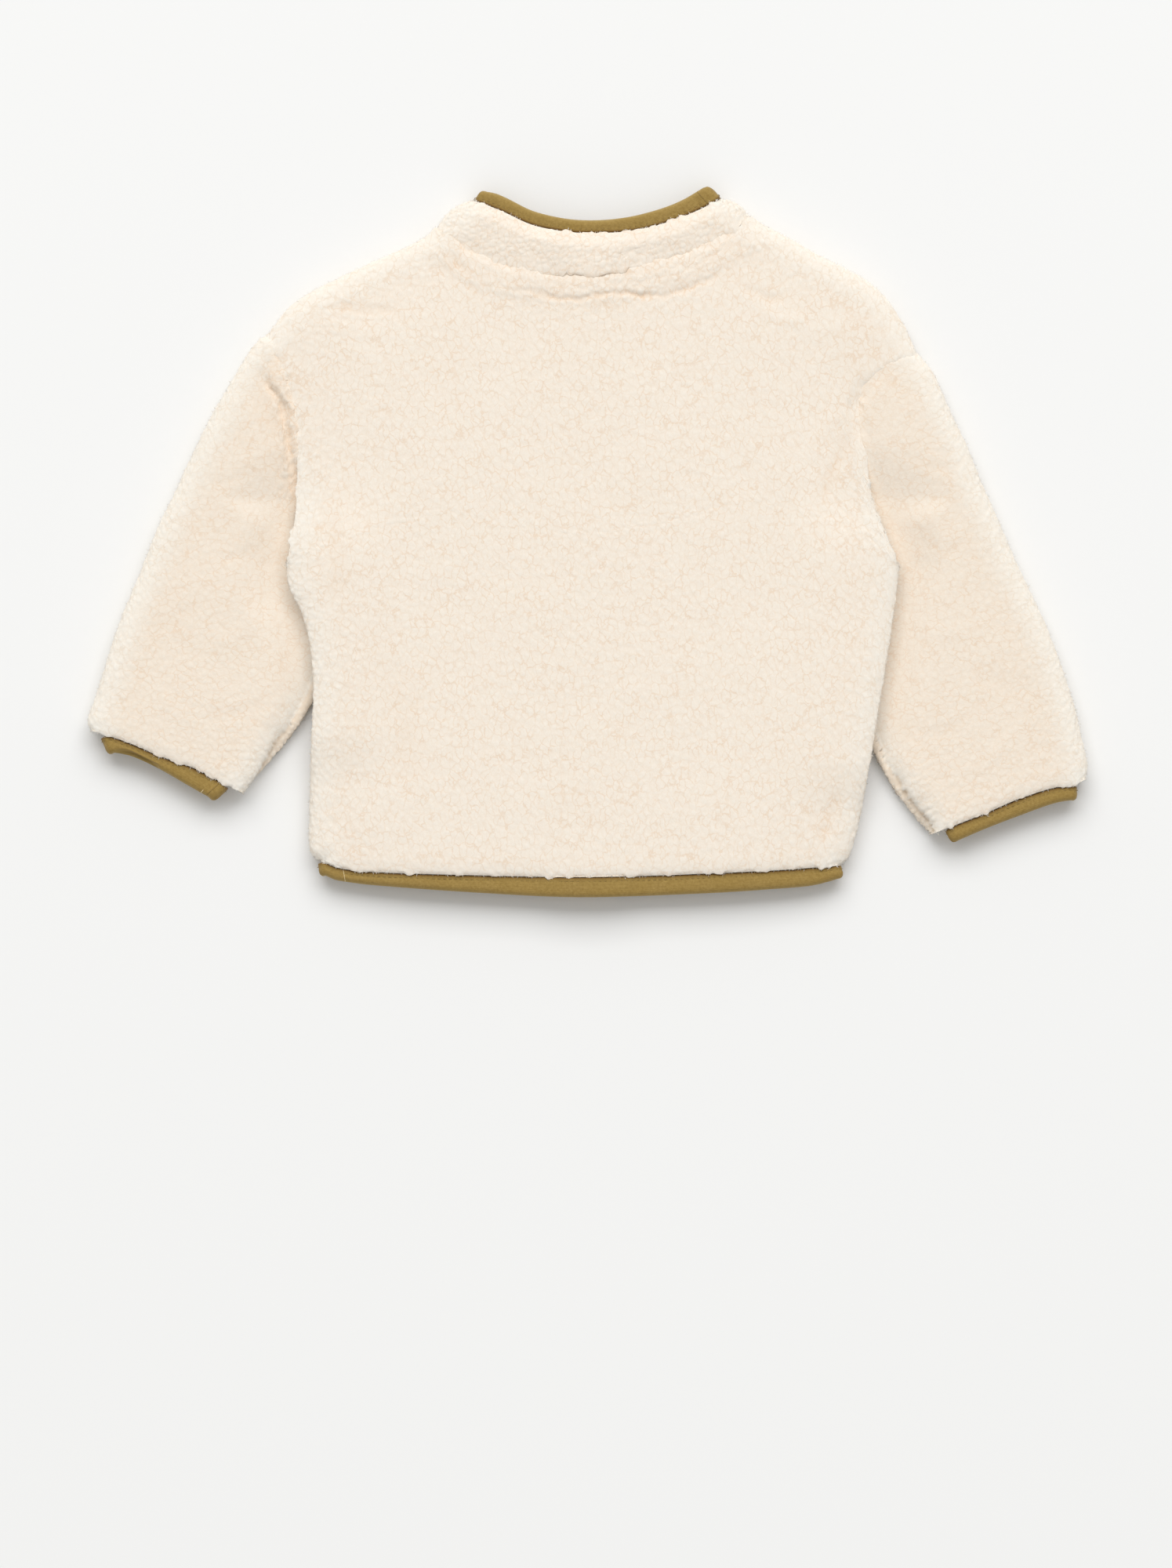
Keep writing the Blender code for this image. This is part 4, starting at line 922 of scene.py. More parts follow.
def dive_under(face, away, towards, share=1, drop=0.8):
    """Draws the edge of a piece on under the next one and down, so that the two meet in a
    soft dip without a slit. The edges of both wander by the same steps."""
    wander = np.dstack([1.2 * plan_drift(face[..., :2], 6.0, k)
                        + 0.9 * plan_drift(face[..., :2], 2.8, k + 2) for k in (74, 75)])
    face[..., :2] += wander * (ramp(away, 5, 0) * share)[..., None]
    face[..., :2] += (1.4 * ramp(away, 4.5, 0))[..., None] * towards
    face[..., 2] -= drop * ramp(away, 1.4, 0) * share


def lap_over(face, away, out, most):
    """Moves the pile beside an edge out over what is sewn to it, unevenly in tufts."""
    plan = face[..., :2]
    reach = 0.3 + 1.2 * plan_drift(plan, 5.0, 71) + 1.2 * plan_drift(plan, 2.4, 72)
    reach = most * np.clip(reach, 0.05, 2.2) * ramp(away, 5, 0.2)
    face[..., :2] += reach[..., None] * out
    face[..., 2] -= 0.5 * ramp(away, 2, 0.3) * most


def turn_under(face, plan, tape_top):
    """Brings the face's last row back under the tufts, to the seam on a binding."""
    face[-1, :, :2] = plan[-1]
    face[-1, :, 2] = tape_top[-1] + 0.15


def edge_roots(face, normal, where, count, salt):
    """Random points of a face, with the pile's direction there."""
    picks = np.flatnonzero(where.ravel())
    chance = np.random.default_rng(salt)
    picks = chance.choice(picks, min(count, len(picks)), replace=False)
    return face.reshape(-1, 3)[picks], normal.reshape(-1, 3)[picks]


def over_studs(under, plan, places):
    """The underside of cloth, raised over the press studs that are set in it."""
    for place in places:
        away = np.linalg.norm(plan - place, axis=-1)
        lifted = STUD_TOP * ramp(away, STUD_RADIUS + 4, STUD_RADIUS + 0.6)
        under = np.maximum(under, lifted)
    return under


def make_front(side):
    """A front, whose pile faces the ground. Height is the inner face less the wall,
    which rounds up to its seams, and the press studs sink into it."""
    is_left = side == "left"
    across = spread(FRONT_WIDTH, 1.3)
    plan, down = body_plan(
        (lambda left, right: left + (FRONT_CLOTH - left) * across) if is_left else
        (lambda left, right: -FRONT_CLOTH + (right + FRONT_CLOTH) * across), 1.3)
    plan = under_neckline(plan, down)
    outline, armhole, neck, hem = body_edges(plan, "front")
    top = left_front_top(plan) if is_left else front_top(plan)
    most = top - tuck_lift(plan) if is_left else right_front_wall(plan[..., 0])
    wall = np.minimum(most, wall_between(
        (outline, OUTER_ROUND, OUTER_SEAM), (armhole, INNER_ROUND, INNER_SEAM),
        (neck, INNER_ROUND, INNER_SEAM), (hem, BOUND_ROUND, BOUND_EDGE)))
    sunk = np.maximum(creased(plan, FRONT_CREASES), -0.4)
    wall -= (sunk + 0.5 * (1 + plan_drift(plan, 30, 81))) * ramp(outline, 0, 14)
    under = over_studs(top - wall, plan, STUD_PLACES[1:] if is_left else [])
    face, painted_light_share, normal = napped(raised(plan, under), -1,
                               amount=0.6 + 0.5 * ramp(outline, 9, 1))
    # Painted edge light: paler towards the outline.
    made = cloth_piece(f"front_{side}_fleece", face, raised(plan, top),
                       {"painted_light_share": painted_light_share, "painted_edge_light": 0.5 * ramp(outline, 12, 1)}, step=5)
    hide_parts(f"front_{side}")
    return made, [edge_roots(face, normal, outline < 3, 1200, 2 if is_left else 4)]


def outward(line, towards):
    """Unit normals of a polyline on the side of a point."""
    step = np.gradient(line, axis=0)
    normal = unit(np.column_stack([-step[:, 1], step[:, 0]]))
    return normal * np.sign(np.median(((towards - line) * normal).sum(1)))


def sleeve_plan(side, down, across):
    """Plan points of a sleeve, blended from its four outlines.

    Each point is the sum of its places between head and cuff and between outer and inner
    edge, less its place between the four corners.
    """
    outer, inner = (along(LINES[f"{part}_{side}"], down) for part in ("outer", "inner"))
    head = along(LINES[f"head_{side}"], across)
    head += ARMHOLE_GAP * outward(head, outer[len(outer) // 8])
    cuff = along(LINES[f"cuff_{side}"], across)
    u, v = across[None, :, None], down[:, None, None]
    w = u ** UNDERARM_BLEND
    corners = ((1 - v) * ((1 - w) * head[0] + w * head[-1])
               + v * ((1 - w) * cuff[0] + w * cuff[-1]))
    inner[0], outer[0] = head[-1], head[0]
    return ((1 - v) * head + v * cuff + (1 - w) * outer[:, None]
            + w * inner[:, None] - corners)


def sleeve_squash(p, side):
    """0 where a sleeve is at its full height and 1 where the body lies on it."""
    tuck = np.vstack([LINES[f"armhole_{side}"], LINES[f"side_{side}"]])
    low = -100 if side == "left" else -122
    tuck = tuck[(tuck[:, 1] < 8) & (tuck[:, 1] > low)]
    x = np.abs(p[..., 0])
    under = x < np.abs(np.interp(p[..., 1], tuck[::-1, 1], tuck[::-1, 0]))
    under &= (p[..., 1] < tuck[0, 1]) & (p[..., 1] > low - 12)
    away = np.where(under, 0, distance(p, tuck) * (1 - 0.38 * ramp(p[..., 1], 8, 24)))
    return ramp(away, TUCK_SLOPE, 1.0)


def ring_of(plan, upper, lower, middle, picks):
    """Rings that go across at the upper height and back at the lower, at fewer places."""
    over = upper.copy()
    over[:, [0, -1]] = middle[:, [0, -1]]
    return np.concatenate([raised(plan, over), raised(plan, lower)[:, picks]], axis=1)


def make_sleeve(side):
    """A sleeve, sewn into a tube that lies flat: an upper and a lower layer of cloth
    that meet in its two folds."""
    down, across = spread(SLEEVE_LENGTH, 0.95), spread(SLEEVE_WIDTH, 0.88)
    plan = sleeve_plan(side, down, across)
    y = plan[..., 1]
    squash = sleeve_squash(plan, side)
    full = WALL + (TUCKED_WALL - WALL) * squash
    air = SLEEVE_AIR + (TUCKED_AIR - SLEEVE_AIR) * squash
    folds = distance(plan, LINES[f"outer_{side}"], LINES[f"inner_{side}"])
    arm, cuff = (distance(plan, LINES[f"{n}_{side}"]) for n in ("armhole", "cuff"))
    step, dent = armhole_profile(plan)
    lip, width = sleeve_lip(plan, side)
    on_lip = lip < width
    rounding = np.where(lip < FAR, np.maximum(lip - width, 0), folds)
    share = wall_between((rounding, OUTER_ROUND, 0.0),
                         (arm, SEAM_ROUND, WALL * (1 - 0.1 * step)),
                         (cuff, BOUND_ROUND, BOUND_EDGE)) / WALL
    inside = ramp(folds, 0, OUTER_ROUND) * (1 - squash)
    sunk = creased(plan, SLEEVE_CREASES[side])
    relief = (0.3 * plan_drift(plan, 30, 91) + 0.15 * plan_drift(plan, 14, 92)
              - sunk) * inside
    relief -= ((0.3 + 0.9 * share) * ramp(arm, 34, 0)
               + 1.6 * step * ramp(arm, 13, 0)) * (1 - squash) + dent
    upper = full + air + full * share + relief
    lower = full - full * share + 0.5 * (1 + plan_drift(plan, 26, 93)) * inside
    middle = full + air / 2
    t = np.clip(lip / np.maximum(width, 0.01), 0, 1)
    roll = LIP_HEIGHT + 3.4 * np.sqrt(1 - (1 - np.minimum(1.6 * t, 1)) ** 2)
    fades = ramp(width, 0.3, 1.5)
    upper = np.where(on_lip, upper + (roll - upper) * fades, upper)
    middle[:, -1] += (LIP_HEIGHT - middle[:, -1]) * fades[:, -1]
    lower = np.minimum(lower, np.where(lip < FAR, middle[:, -1:] - 0.1, FAR))
    amount = 0.4 + 0.15 * ramp(folds, 30, 8) + 0.25 * ramp(folds, 9, 1)
    amount *= 1 - 0.6 * squash
    if side == "left":
        amount += 0.6 * ramp(arm, 14, 5) * ramp(y, 10, 30)
    amount += 0.6 * on_lip
    picks = chosen(plan.shape[1], 1.8)[-2:0:-1]

    def ringed(values):
        return np.concatenate([values, values[:, picks]], axis=1)

    face, painted_light_share, normal = napped(ring_of(plan, upper, lower, middle, picks),
                               1 if side == "left" else -1, True, ringed(amount))
    out = outward(along(LINES[f"cuff_{side}"], np.linspace(0, 1, 9)),
                  LINES[f"cuff_edge_{side}"][5]).mean(0)
    lap_over(face, np.where(face[..., 2] > WALL, ringed(cuff), FAR), out, 0.8)
    columns = plan.shape[1]
    tape_top = np.full(face.shape[:2], WALL + SLEEVE_AIR + TAPE)
    tape_top[:, columns:] = WALL - TAPE - 0.3
    tape_top[:, [0, columns - 1]] = WALL + SLEEVE_AIR / 2
    turn_under(face, ringed(plan), tape_top)
    above = ramp(plan[0, :, 1], 8, 26)
    inward = -outward(plan[0], LINES[f"outer_{side}"][20])
    dive_under(face[:8, :columns], arm[:8] - ARMHOLE_GAP, inward * above[:, None], above)
    # Painted edge light: paler towards the folds and the cuff.
    painted_edge_light = 0.75 * ramp(ringed(folds), 20, 2) + 0.25 * ramp(ringed(cuff), 10, 0)
    # Painted shade: darker in the creases and on the under layer, where it lies in the
    # shade of the upper layer.
    painted_light_share[:, :columns] -= 0.15 * np.clip(sunk, 0, 1) + 0.7 * on_lip
    made = cloth_piece(f"sleeve_{side}_fleece", face,
                       hollow_ring(plan, full, air, across, picks),
                       {"painted_light_share": painted_light_share, "painted_edge_light": np.clip(painted_edge_light, 0, 1)}, closed=True,
                       pile=SLEEVE_SHERPA)
    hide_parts(f"sleeve_{side}")
    over = face[..., 2] > 3
    return made, [edge_roots(face, normal, *row) for row in (
        ((ringed(folds) < 3) & over, 2800, 8 if side == "left" else 6),
        ((ringed(cuff) < 1.2) & over, 220, 8))]


def sleeve_lip(plan, side):
    """Distances from a sleeve's inner edge, FAR in its other half, and how wide the
    under layer shows past that edge there."""
    points, most = SLEEVE_LIPS[side]
    half = np.arange(plan.shape[1]) > plan.shape[1] // 2
    away = np.where(half, distance(plan, LINES[f"inner_{side}"]), FAR)
    edge = plan[:, -1:]
    width = most * bump(distance(edge, smooth(points)), 0, 22)
    return away, width * (1 + 0.25 * plan_drift(edge, 6.0, 95)
                          + 0.15 * plan_drift(edge, 2.6, 96))


def hollow_ring(plan, full, air, across, picks):
    """The tube's inside: the plan drawn in from both folds by the wall, with a roof and
    a floor the sleeve's air apart."""
    width = np.linalg.norm(plan[:, -1] - plan[:, 0], axis=1)[:, None]
    inset = WALL / width
    wanted = inset + (1 - 2 * inset) * across
    place = np.interp(wanted, across, np.arange(len(across)))
    low = np.clip(place.astype(int), 0, len(across) - 2)
    part = place - low

    def drawn_in(values):
        a, b = (np.take_along_axis(values, low + k, 1) for k in (0, 1))
        return a + (b - a) * part

    hollow = np.dstack([drawn_in(plan[..., k]) for k in (0, 1)])
    roof, floor = drawn_in(full + air), drawn_in(full)
    roof[:, [0, -1]] = (roof + floor)[:, [0, -1]] / 2
    return np.concatenate([raised(hollow, roof), raised(hollow, floor)[:, picks]], axis=1)


# ---- Collar

def collar_side(x, seam_line, top_line, corner):
    """Seam and top points of one collar run, from the middle out to the fold."""
    seam = np.column_stack([x, at_x(seam_line, x)])
    steps = np.linalg.norm(np.diff(np.vstack([seam, corner]), axis=0), axis=1)
    run = np.concatenate([[0], np.cumsum(steps)])
    inward = np.abs(seam[:, 0]) <= PRESSED_TO
    last = np.flatnonzero(inward)[-1]
    share = (run[:-1] - run[last]) / (run[-1] - run[last])
    start = seam[last, 0]
    outer = top_line[top_line[:, 0] > start] if start > 0 else (
        top_line[top_line[:, 0] < start][::-1])
    outer = np.vstack([[start, at_x(top_line, start)], outer])
    top = along(outer, np.clip(share, 0, 1))
    top[inward, 0] = seam[inward, 0]
    top[:, 1] = at_x(top_line, top[:, 0])
    return seam, top


def collar_plan(seam, top, levels):
    step = top - seam
    length = np.linalg.norm(step, axis=1)[:, None]
    start = seam + step / length * SEAM_GAP
    return start[:, None] + (top - start)[:, None] * levels[None, :, None]


def collar_bulged(p, levels):
    """The collar's points with its two sides curved outwards."""
    for fold in COLLAR_FOLDS:
        step = unit(fold[1] - fold[0])
        out = np.array([-step[1], step[0]])
        out = -out if out[1] < 0 else out
        share = ramp(distance(p[..., :2], fold), COLLAR_BULGE_REACH, 0)
        shift = COLLAR_BULGE * 4 * levels * (1 - levels) * share
        p = p + shift[..., None] * np.array([*out, 0])
    return p


def across_away(plan):
    """Distances from the first and from the last column of a grid."""
    return (np.linalg.norm(plan - plan[:, [k]], axis=2) for k in (0, -1))


def collar_run(part, side, levels):
    """A quarter of the collar, from its open edge or its middle out to the fold at one
    side: its face, which looks down on the fronts, and its wrong side."""
    is_left, is_back = side == "left", part == "back"
    line = LINES[f"neck_{part}"]
    corner = LINES["neck_back"][0 if is_left else -1]
    end = 0.0 if is_back else (FRONT_CLOTH if is_left else -FRONT_CLOTH)
    half = line[line[:, 0] < end][::-1] if is_left else line[line[:, 0] > end]
    half = np.vstack([[end, at_x(line, end)], half])
    x = along(half, np.linspace(0, 1, round(length_of(half) / 0.8) + 1))[:-1, 0]
    if is_back and not is_left:
        x = x[1:]
    plan = collar_plan(*collar_side(x, line, LINES[f"collar_top_{part}"], corner), levels)
    folds = distance(plan, *COLLAR_FOLDS)
    seam_away, top_away = across_away(plan)
    wall = wall_between((folds, OUTER_ROUND, OUTER_SEAM),
                        (seam_away, SEAM_ROUND, SEAM_FACE if is_back else INNER_SEAM),
                        (top_away, BOUND_ROUND, BOUND_EDGE))
    if is_back:
        base = back_base(plan)
        rise = COLLAR_RISE * levels * ramp(top_away, 0, 9)
        wall += (0.4 * plan_drift(plan, 16, 101) + rise
                 - 0.5 * bump(plan_drift(plan, 24, 102), 0, 0.25)) * ramp(folds, 0, 14)
        return raised(plan, base + wall), raised(plan, base)
    top = left_front_top(plan) if is_left else front_top(plan)
    under = top - np.minimum(wall, top if is_left else right_front_wall(plan[..., 0]))
    under = over_studs(under, plan, STUD_PLACES[:1] if is_left else [])
    return raised(plan, under), raised(plan, top)


def collar_fold(k, levels):
    """The collar's points where it folds at one side, k being 0 for the left."""
    plan = collar_plan(COLLAR_FOLDS[k][:1], COLLAR_FOLDS[k][1:], levels)
    height = (front_top(plan) + back_base(plan)) / 2
    drawn = plan + COLLAR_HOLLOW * np.column_stack([(1 - 2 * k) * (1 - levels), -levels])
    return raised(plan, height), raised(drawn, height)


def make_collar():
    """The stand collar, one strip from the left front's edge round the back of the neck
    to the right front's edge, flattened where it folds at both sides."""
    levels = spread(COLLAR_WIDTH, 0.72)
    parts = [collar_run("front", "left", levels), collar_fold(0, levels),
             [points[::-1] for points in collar_run("back", "left", levels)],
             collar_run("back", "right", levels), collar_fold(1, levels),
             [points[::-1] for points in collar_run("front", "right", levels)]]
    face, wrong = (collar_bulged(np.concatenate(points), levels) for points in zip(*parts))
    on_back = np.repeat([False, True, True, True, True, False],
                        [len(part[0]) for part in parts])[:, None]
    plan = face[..., :2].copy()
    seam_away, top_away = across_away(plan)
    folds = distance(plan, *COLLAR_FOLDS)
    face, painted_light_share, normal = napped(face, 1, amount=0.6 + 0.2 * ramp(folds, 9, 1))
    out = unit(plan[:, [-1]] - plan[:, [0]])
    tape_top = np.where(on_back, back_base(plan) + TAPE, face[..., 2] - 0.15)
    lap_over(face, np.where(on_back, top_away, FAR), out, 0.8)
    dive_under(face, np.where(on_back, seam_away, FAR), -out, drop=NECK_DROP)
    turn_under(face.swapaxes(0, 1), plan.swapaxes(0, 1), tape_top.T)
    # Painted edge light over the whole collar, paler towards its folds.
    painted_edge_light = 0.2 + 0.4 * ramp(folds, 16, 1)
    # Painted shade: darker away from the folds and along the neck seam.
    painted_light_share = painted_light_share - 0.08 * ramp(folds, 0, 14) - 0.15 * ramp(seam_away, 2.5, 0)
    made = cloth_piece("collar_fleece", face, wrong, {"painted_light_share": painted_light_share, "painted_edge_light": painted_edge_light}, step=4)
    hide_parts("collar")
    return made, [edge_roots(face, normal, (folds < 3) & (face[..., 2] > 3), 700, 11),
                  edge_roots(face, normal, (top_away < 1.2) & on_back, 220, 12)]


def make_fuzz(name, roots, salt):
    """The loose ends of the pile along the edges: thin three-sided spikes that lean at
    random about the pile's own direction. Each is three root points and a tip."""
    place, normal = (np.vstack([r[k] for r in roots]) for k in (0, 1))
    chance = np.random.default_rng(salt)
    count = len(place)
    lean = unit(normal + chance.normal(0, 0.6, (count, 3)))
    length = chance.uniform(0.5, 1.4, (count, 1))
    width = chance.uniform(0.12, 0.26, (count, 1))
    side = unit(np.cross(lean, chance.normal(0, 1, (count, 3))))
    other = np.cross(lean, side)
    turn = np.radians([0, 120, 240])[None, :, None]
    ring = side[:, None] * np.cos(turn) + other[:, None] * np.sin(turn)
    start = place + chance.normal(0, 0.35, (count, 3)) - 0.4 * normal
    points = np.concatenate([start[:, None] + ring * width[:, None],
                             (start + lean * (length + 0.4))[:, None]], axis=1)
    points[..., 2] = np.maximum(points[..., 2], PILE_GAP)
    one = np.array([(0, 1, 3), (1, 2, 3), (2, 0, 3), (0, 2, 1)])
    triangles = (np.arange(count)[:, None, None] * 4 + one).reshape(-1, 3)
    towards = unit(normal + (0, 0, 0.5))
    # The loose fibres get no painted shade and some painted edge light.
    made = mesh_piece(name, points.reshape(-1, 3), triangles, [SHERPA], shares={
        "painted_light_share": np.full(count * 4, 1.0), "painted_edge_light": np.full(count * 4, 0.6)},
        normals=towards.repeat(4, 0))
    made.visible_shadow = made.visible_diffuse = False  # fibres let the light through
    return made


# ---- Bindings

def flat_tape(root, edge, middle, facing):
    """A tape's guide lines where it lies flat: its root, its edge and its outer side."""
    up = np.tile([0, 0, float(facing)], (len(root), 1))
    return np.column_stack([root, middle, edge, middle, up])


def tape_turn(low_end, high_end, corner):
    """Guide lines where a tape turns round a side, in a half circle pressed flat."""
    turn = np.radians(np.linspace(-90, 90, 6)[1:-1])[:, None]
    share = (np.sin(turn) + 1) / 2
    root, edge, middle = (np.asarray(low) + share * (np.asarray(high) - low)
                          for low, high in zip(low_end, high_end))
    out = edge - root
    away = unit(np.column_stack([-out[:, 1], out[:, 0]]))
    away *= np.sign(((corner - root) * away).sum(1))[:, None]
    shift = TURN_SHARE * (high_end[2] - low_end[2]) / 2 * np.cos(turn) * away
    up = np.column_stack([np.cos(turn) * away, np.sin(turn)])
    return np.column_stack([root + shift, middle, edge + shift, middle, up])


def tape_run(root_line, edge_line):
    first, last = root_line[[0, -1], 0]
    x = np.linspace(first, last, round((last - first) / 5))
    edge_x = np.interp(x, [first, -PRESSED_TO, PRESSED_TO, last],
                       [edge_line[0, 0], -PRESSED_TO, PRESSED_TO, edge_line[-1, 0]])
    root = np.column_stack([x, at_x(root_line, x)])
    edge = np.column_stack([edge_x, at_x(edge_line, edge_x)])
    return root + SEAM_GAP * unit(edge - root), edge


def folded_guides(back_run, front_run, corners):
    """Guide lines along the back and, folded at both sides, along the two fronts."""
    root, edge = back_run
    high = back_base(root) + TAPE / 2
    fronts = []
    for side, k, level in (("left", 0, left_front_top), ("right", -1, front_top)):
        x = front_run[0][:, 0]
        keep = x < FRONT_CLOTH if side == "left" else x > -FRONT_CLOTH
        low_root, low_edge = (line[keep] for line in front_run)
        low = level(low_root) - TAPE / 2
        turn = tape_turn((low_root[k], low_edge[k], low[k]), (root[k], edge[k], high[k]),
                         corners[side])
        fronts.append((flat_tape(low_root, low_edge, low, -1), turn))
    (left, left_turn), (right, right_turn) = fronts
    return np.concatenate([left[::-1], left_turn, flat_tape(root, edge, high, 1),
                           right_turn[::-1], right[::-1]])


# Across a tape: millimetres from its root, or back from its edge, and the height
UPPER_PROFILE = (
    (0.0, None, 1.9), (0.7, None, 2.3), (1.4, None, 2.3), (2.0, None, 2.25),
    (2.6, None, 2.3), (3.4, None, 2.42), (None, 4.6, 2.5), (None, 3.2, 2.5),
    (None, 2.1, 2.35), (None, 1.2, 1.95), (None, 0.5, 1.25))
EDGE_COLUMN = len(UPPER_PROFILE)
TAPE_PROFILE = np.array([*UPPER_PROFILE, (None, 0.0, 0.0), *(
    (across, back, -height) for across, back, height in UPPER_PROFILE[::-1])], float)


def make_binding(name, guides, closed=False, join=None, threads=(), slit=None):
    """A folded tape: the profile above carried along the guide lines, a little rumpled
    and puckered by its stitches. It is thinner where it turns round a side, a step
    thicker between the two places of a join, and parts into its two layers in a slit."""
    line = smooth(guides, 6, closed)
    length = length_of((line[:, :3] + line[:, 3:6]) / 2)
    count = round(length / 0.9)
    line = along(line, np.linspace(0, 1, count, endpoint=not closed), 6)
    root, edge, up = line[:, :3], line[:, 3:6], unit(line[:, 6:])
    width = np.linalg.norm(edge - root, axis=1)[:, None]
    out = unit(edge - root)
    middle = (root + edge)[:, :2] / 2
    run = np.linspace(0, length, count)[:, None]

    def row_at(place):
        away = np.linalg.norm(middle - np.array(place), axis=1)
        return int(np.argmin(np.where(up[:, 2] > 0.5, away, np.inf)))

    across, back, height = np.nan_to_num(TAPE_PROFILE.T[:, None])
    at_edge = np.isnan(TAPE_PROFILE[:, 0])
    height = height * (0.55 + 0.45 * np.abs(up[:, 2:]) ** 0.5)
    columns = len(TAPE_PROFILE)
    column = np.arange(columns)
    if join is not None:
        first, last = sorted(row_at(place) for place in join)
        row = np.arange(count)[:, None]
        height = height + 0.4 * ((row >= first) & (row <= last) & (column < EDGE_COLUMN))
    if slit is not None:
        first, last = sorted(run[row_at(place), 0] for place in slit)
        part = bump(run, (first + last) / 2, (last - first) / 2) ** 0.5
        back = back + 1.5 * part * ((column >= 7) & (column < EDGE_COLUMN))
        height = height + part * np.select(
            [column == EDGE_COLUMN - 2, column == EDGE_COLUMN - 1, column == EDGE_COLUMN],
            [-0.7, -1.9, 0.7])
    far = np.where(at_edge, np.maximum(width - back, 3.9), across)
    ring = root[:, None] + out[:, None] * far[..., None]
    rumple = 0.2 * drift(ring, 9.0, 111) + 0.12 * drift(ring, 3.5, 112)
    rumple += 0.14 * np.sin(2 * np.pi * run / STITCH) * (across < 2.8) * ~at_edge
    height = height + np.sign(height) * rumple * (np.abs(height) > 1)
    ring = ring + up[:, None] * np.clip(height, -2.6, 3.2)[..., None]
    ring[..., 2] = np.maximum(ring[..., 2], 0.0)
    triangles = grid_triangles(count + closed, columns, True) % (count * columns)
    if not closed:
        cap = np.column_stack([0 * column[2:], column[1:-1], column[2:]])
        triangles = np.vstack([triangles, cap[:, ::-1], (count - 1) * columns + cap])
    uv = np.column_stack([run.repeat(columns), np.tile(column, count)]) * MM
    made = [mesh_piece(f"{name}_tape", ring.reshape(-1, 3), triangles, [JERSEY], uv=uv)]
    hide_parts(name)
    seam = root + out * 2.0 + up * 2.1
    made.append(make_stitches(f"{name}_stitches", seam, out, up, length, closed))
    for i, (place, material, radius, first) in enumerate(threads):
        at = row_at(place)
        made.append(make_thread(f"{name}_thread_{i + 1}", ring[at, first:EDGE_COLUMN + 1],
                                up[at], out[at], radius, material))
    return made


TUBE_SIDES = np.radians(np.arange(0, 360, 60))


def tube_triangles(rows):
    """A six-sided tube through rows of points, shut at both ends."""
    cap = np.array([(0, 2, 1), (0, 3, 2), (0, 4, 3), (0, 5, 4)])
    return np.vstack([grid_triangles(rows, 6, True), cap, cap[:, ::-1] + 6 * (rows - 1)])


def make_thread(name, path, up, out, radius, material):
    """A thread across a tape, on its surface: a tube that thins every 2 mm."""
    rows = 18
    path = along(path, np.linspace(0, 1, rows))
    side = np.cross(up, out)
    turn = TUBE_SIDES[None, :, None]
    thick = radius * (0.75 + 0.25 * np.cos(np.arange(rows) * 1.9))[:, None, None]
    ring = path[:, None] + thick * (side * np.cos(turn) + up * (np.sin(turn) + 0.3))
    return mesh_piece(name, ring.reshape(-1, 3), tube_triangles(rows), [material])


def make_stitches(name, line, out, up, length, closed):
    """A row of lockstitches with short gaps: each a tube that is thickest in its middle
    and dives into the cloth at both ends."""
    count = int(length / STITCH)
    starts = (np.arange(count) + 0.2) * STITCH
    t = np.array([0, 0.12, 0.5, 0.88, 1.0])
    shares = (starts[:, None] + t * 2.2) / length
    if closed:
        line, out, up = (np.vstack([v, v[:1]]) for v in (line, out, up))
    both = along(np.column_stack([line, out, up]), np.clip(shares.ravel(), 0, 1), 3)
    line, out, up = np.split(both.reshape(count, len(t), 1, 9), 3, axis=-1)
    radius = np.array([0.08, 0.18, 0.22, 0.18, 0.08])[:, None, None]
    sink = np.array([-0.35, 0.05, 0.1, 0.05, -0.35])[:, None, None]
    turn = TUBE_SIDES[:, None]
    points = (line + up * sink + radius * (out * np.cos(turn) + up * np.sin(turn)))
    points = points.reshape(-1, 3)
    points[:, 2] = np.maximum(points[:, 2], 0.0)
    triangles = (np.arange(count)[:, None, None] * 6 * len(t) + tube_triangles(len(t)))
    return mesh_piece(name, points, triangles.reshape(-1, 3), [THREAD])


def cuff_guides(side):
    cuff, turn = LINES[f"cuff_{side}"], CUFF_TURN
    first, last = CUFF_TRIM[0] + turn, length_of(cuff) - CUFF_TRIM[1] - turn
    places = np.linspace(first, last, 14)
    root = along(cuff, places / length_of(cuff))
    edge_line = trimmed(LINES[f"cuff_edge_{side}"], turn, turn)
    edge = along(edge_line, (places - first) / (last - first))
    root = root + ARMHOLE_GAP * outward(root, edge[5])
    low, high = WALL - TAPE / 2, WALL + SLEEVE_AIR + TAPE / 2
    lower, upper = (flat_tape(root, edge, np.full(len(root), height), facing)
                    for height, facing in ((low, -1), (high, 1)))
    turns = [tape_turn((root[k], edge[k], low), (root[k], edge[k], high),
                       2 * root[k] - root[m]) for k, m in ((0, 1), (-1, -2))]
    return np.concatenate([lower[::-1], turns[0], upper, turns[1][::-1]])


def front_guides(side):
    sign, middle = (1, PRESSED / 2) if side == "left" else (
        -1, LIFT_OVER_FRONT + PRESSED / 2)
    root_x, edge_x = sign * (FRONT_CLOTH + SEAM_GAP), sign * OVERLAP
    y = np.linspace(at_x(LINES["hem_edge"], root_x) + 0.2,
                    at_x(LINES["neck_edge_front"], root_x) - 0.2, 30)
    root = np.column_stack([np.full(len(y), root_x), y])
    edge = np.column_stack([np.full(len(y), edge_x), y])
    return flat_tape(root, edge, np.full(len(y), middle), -1)


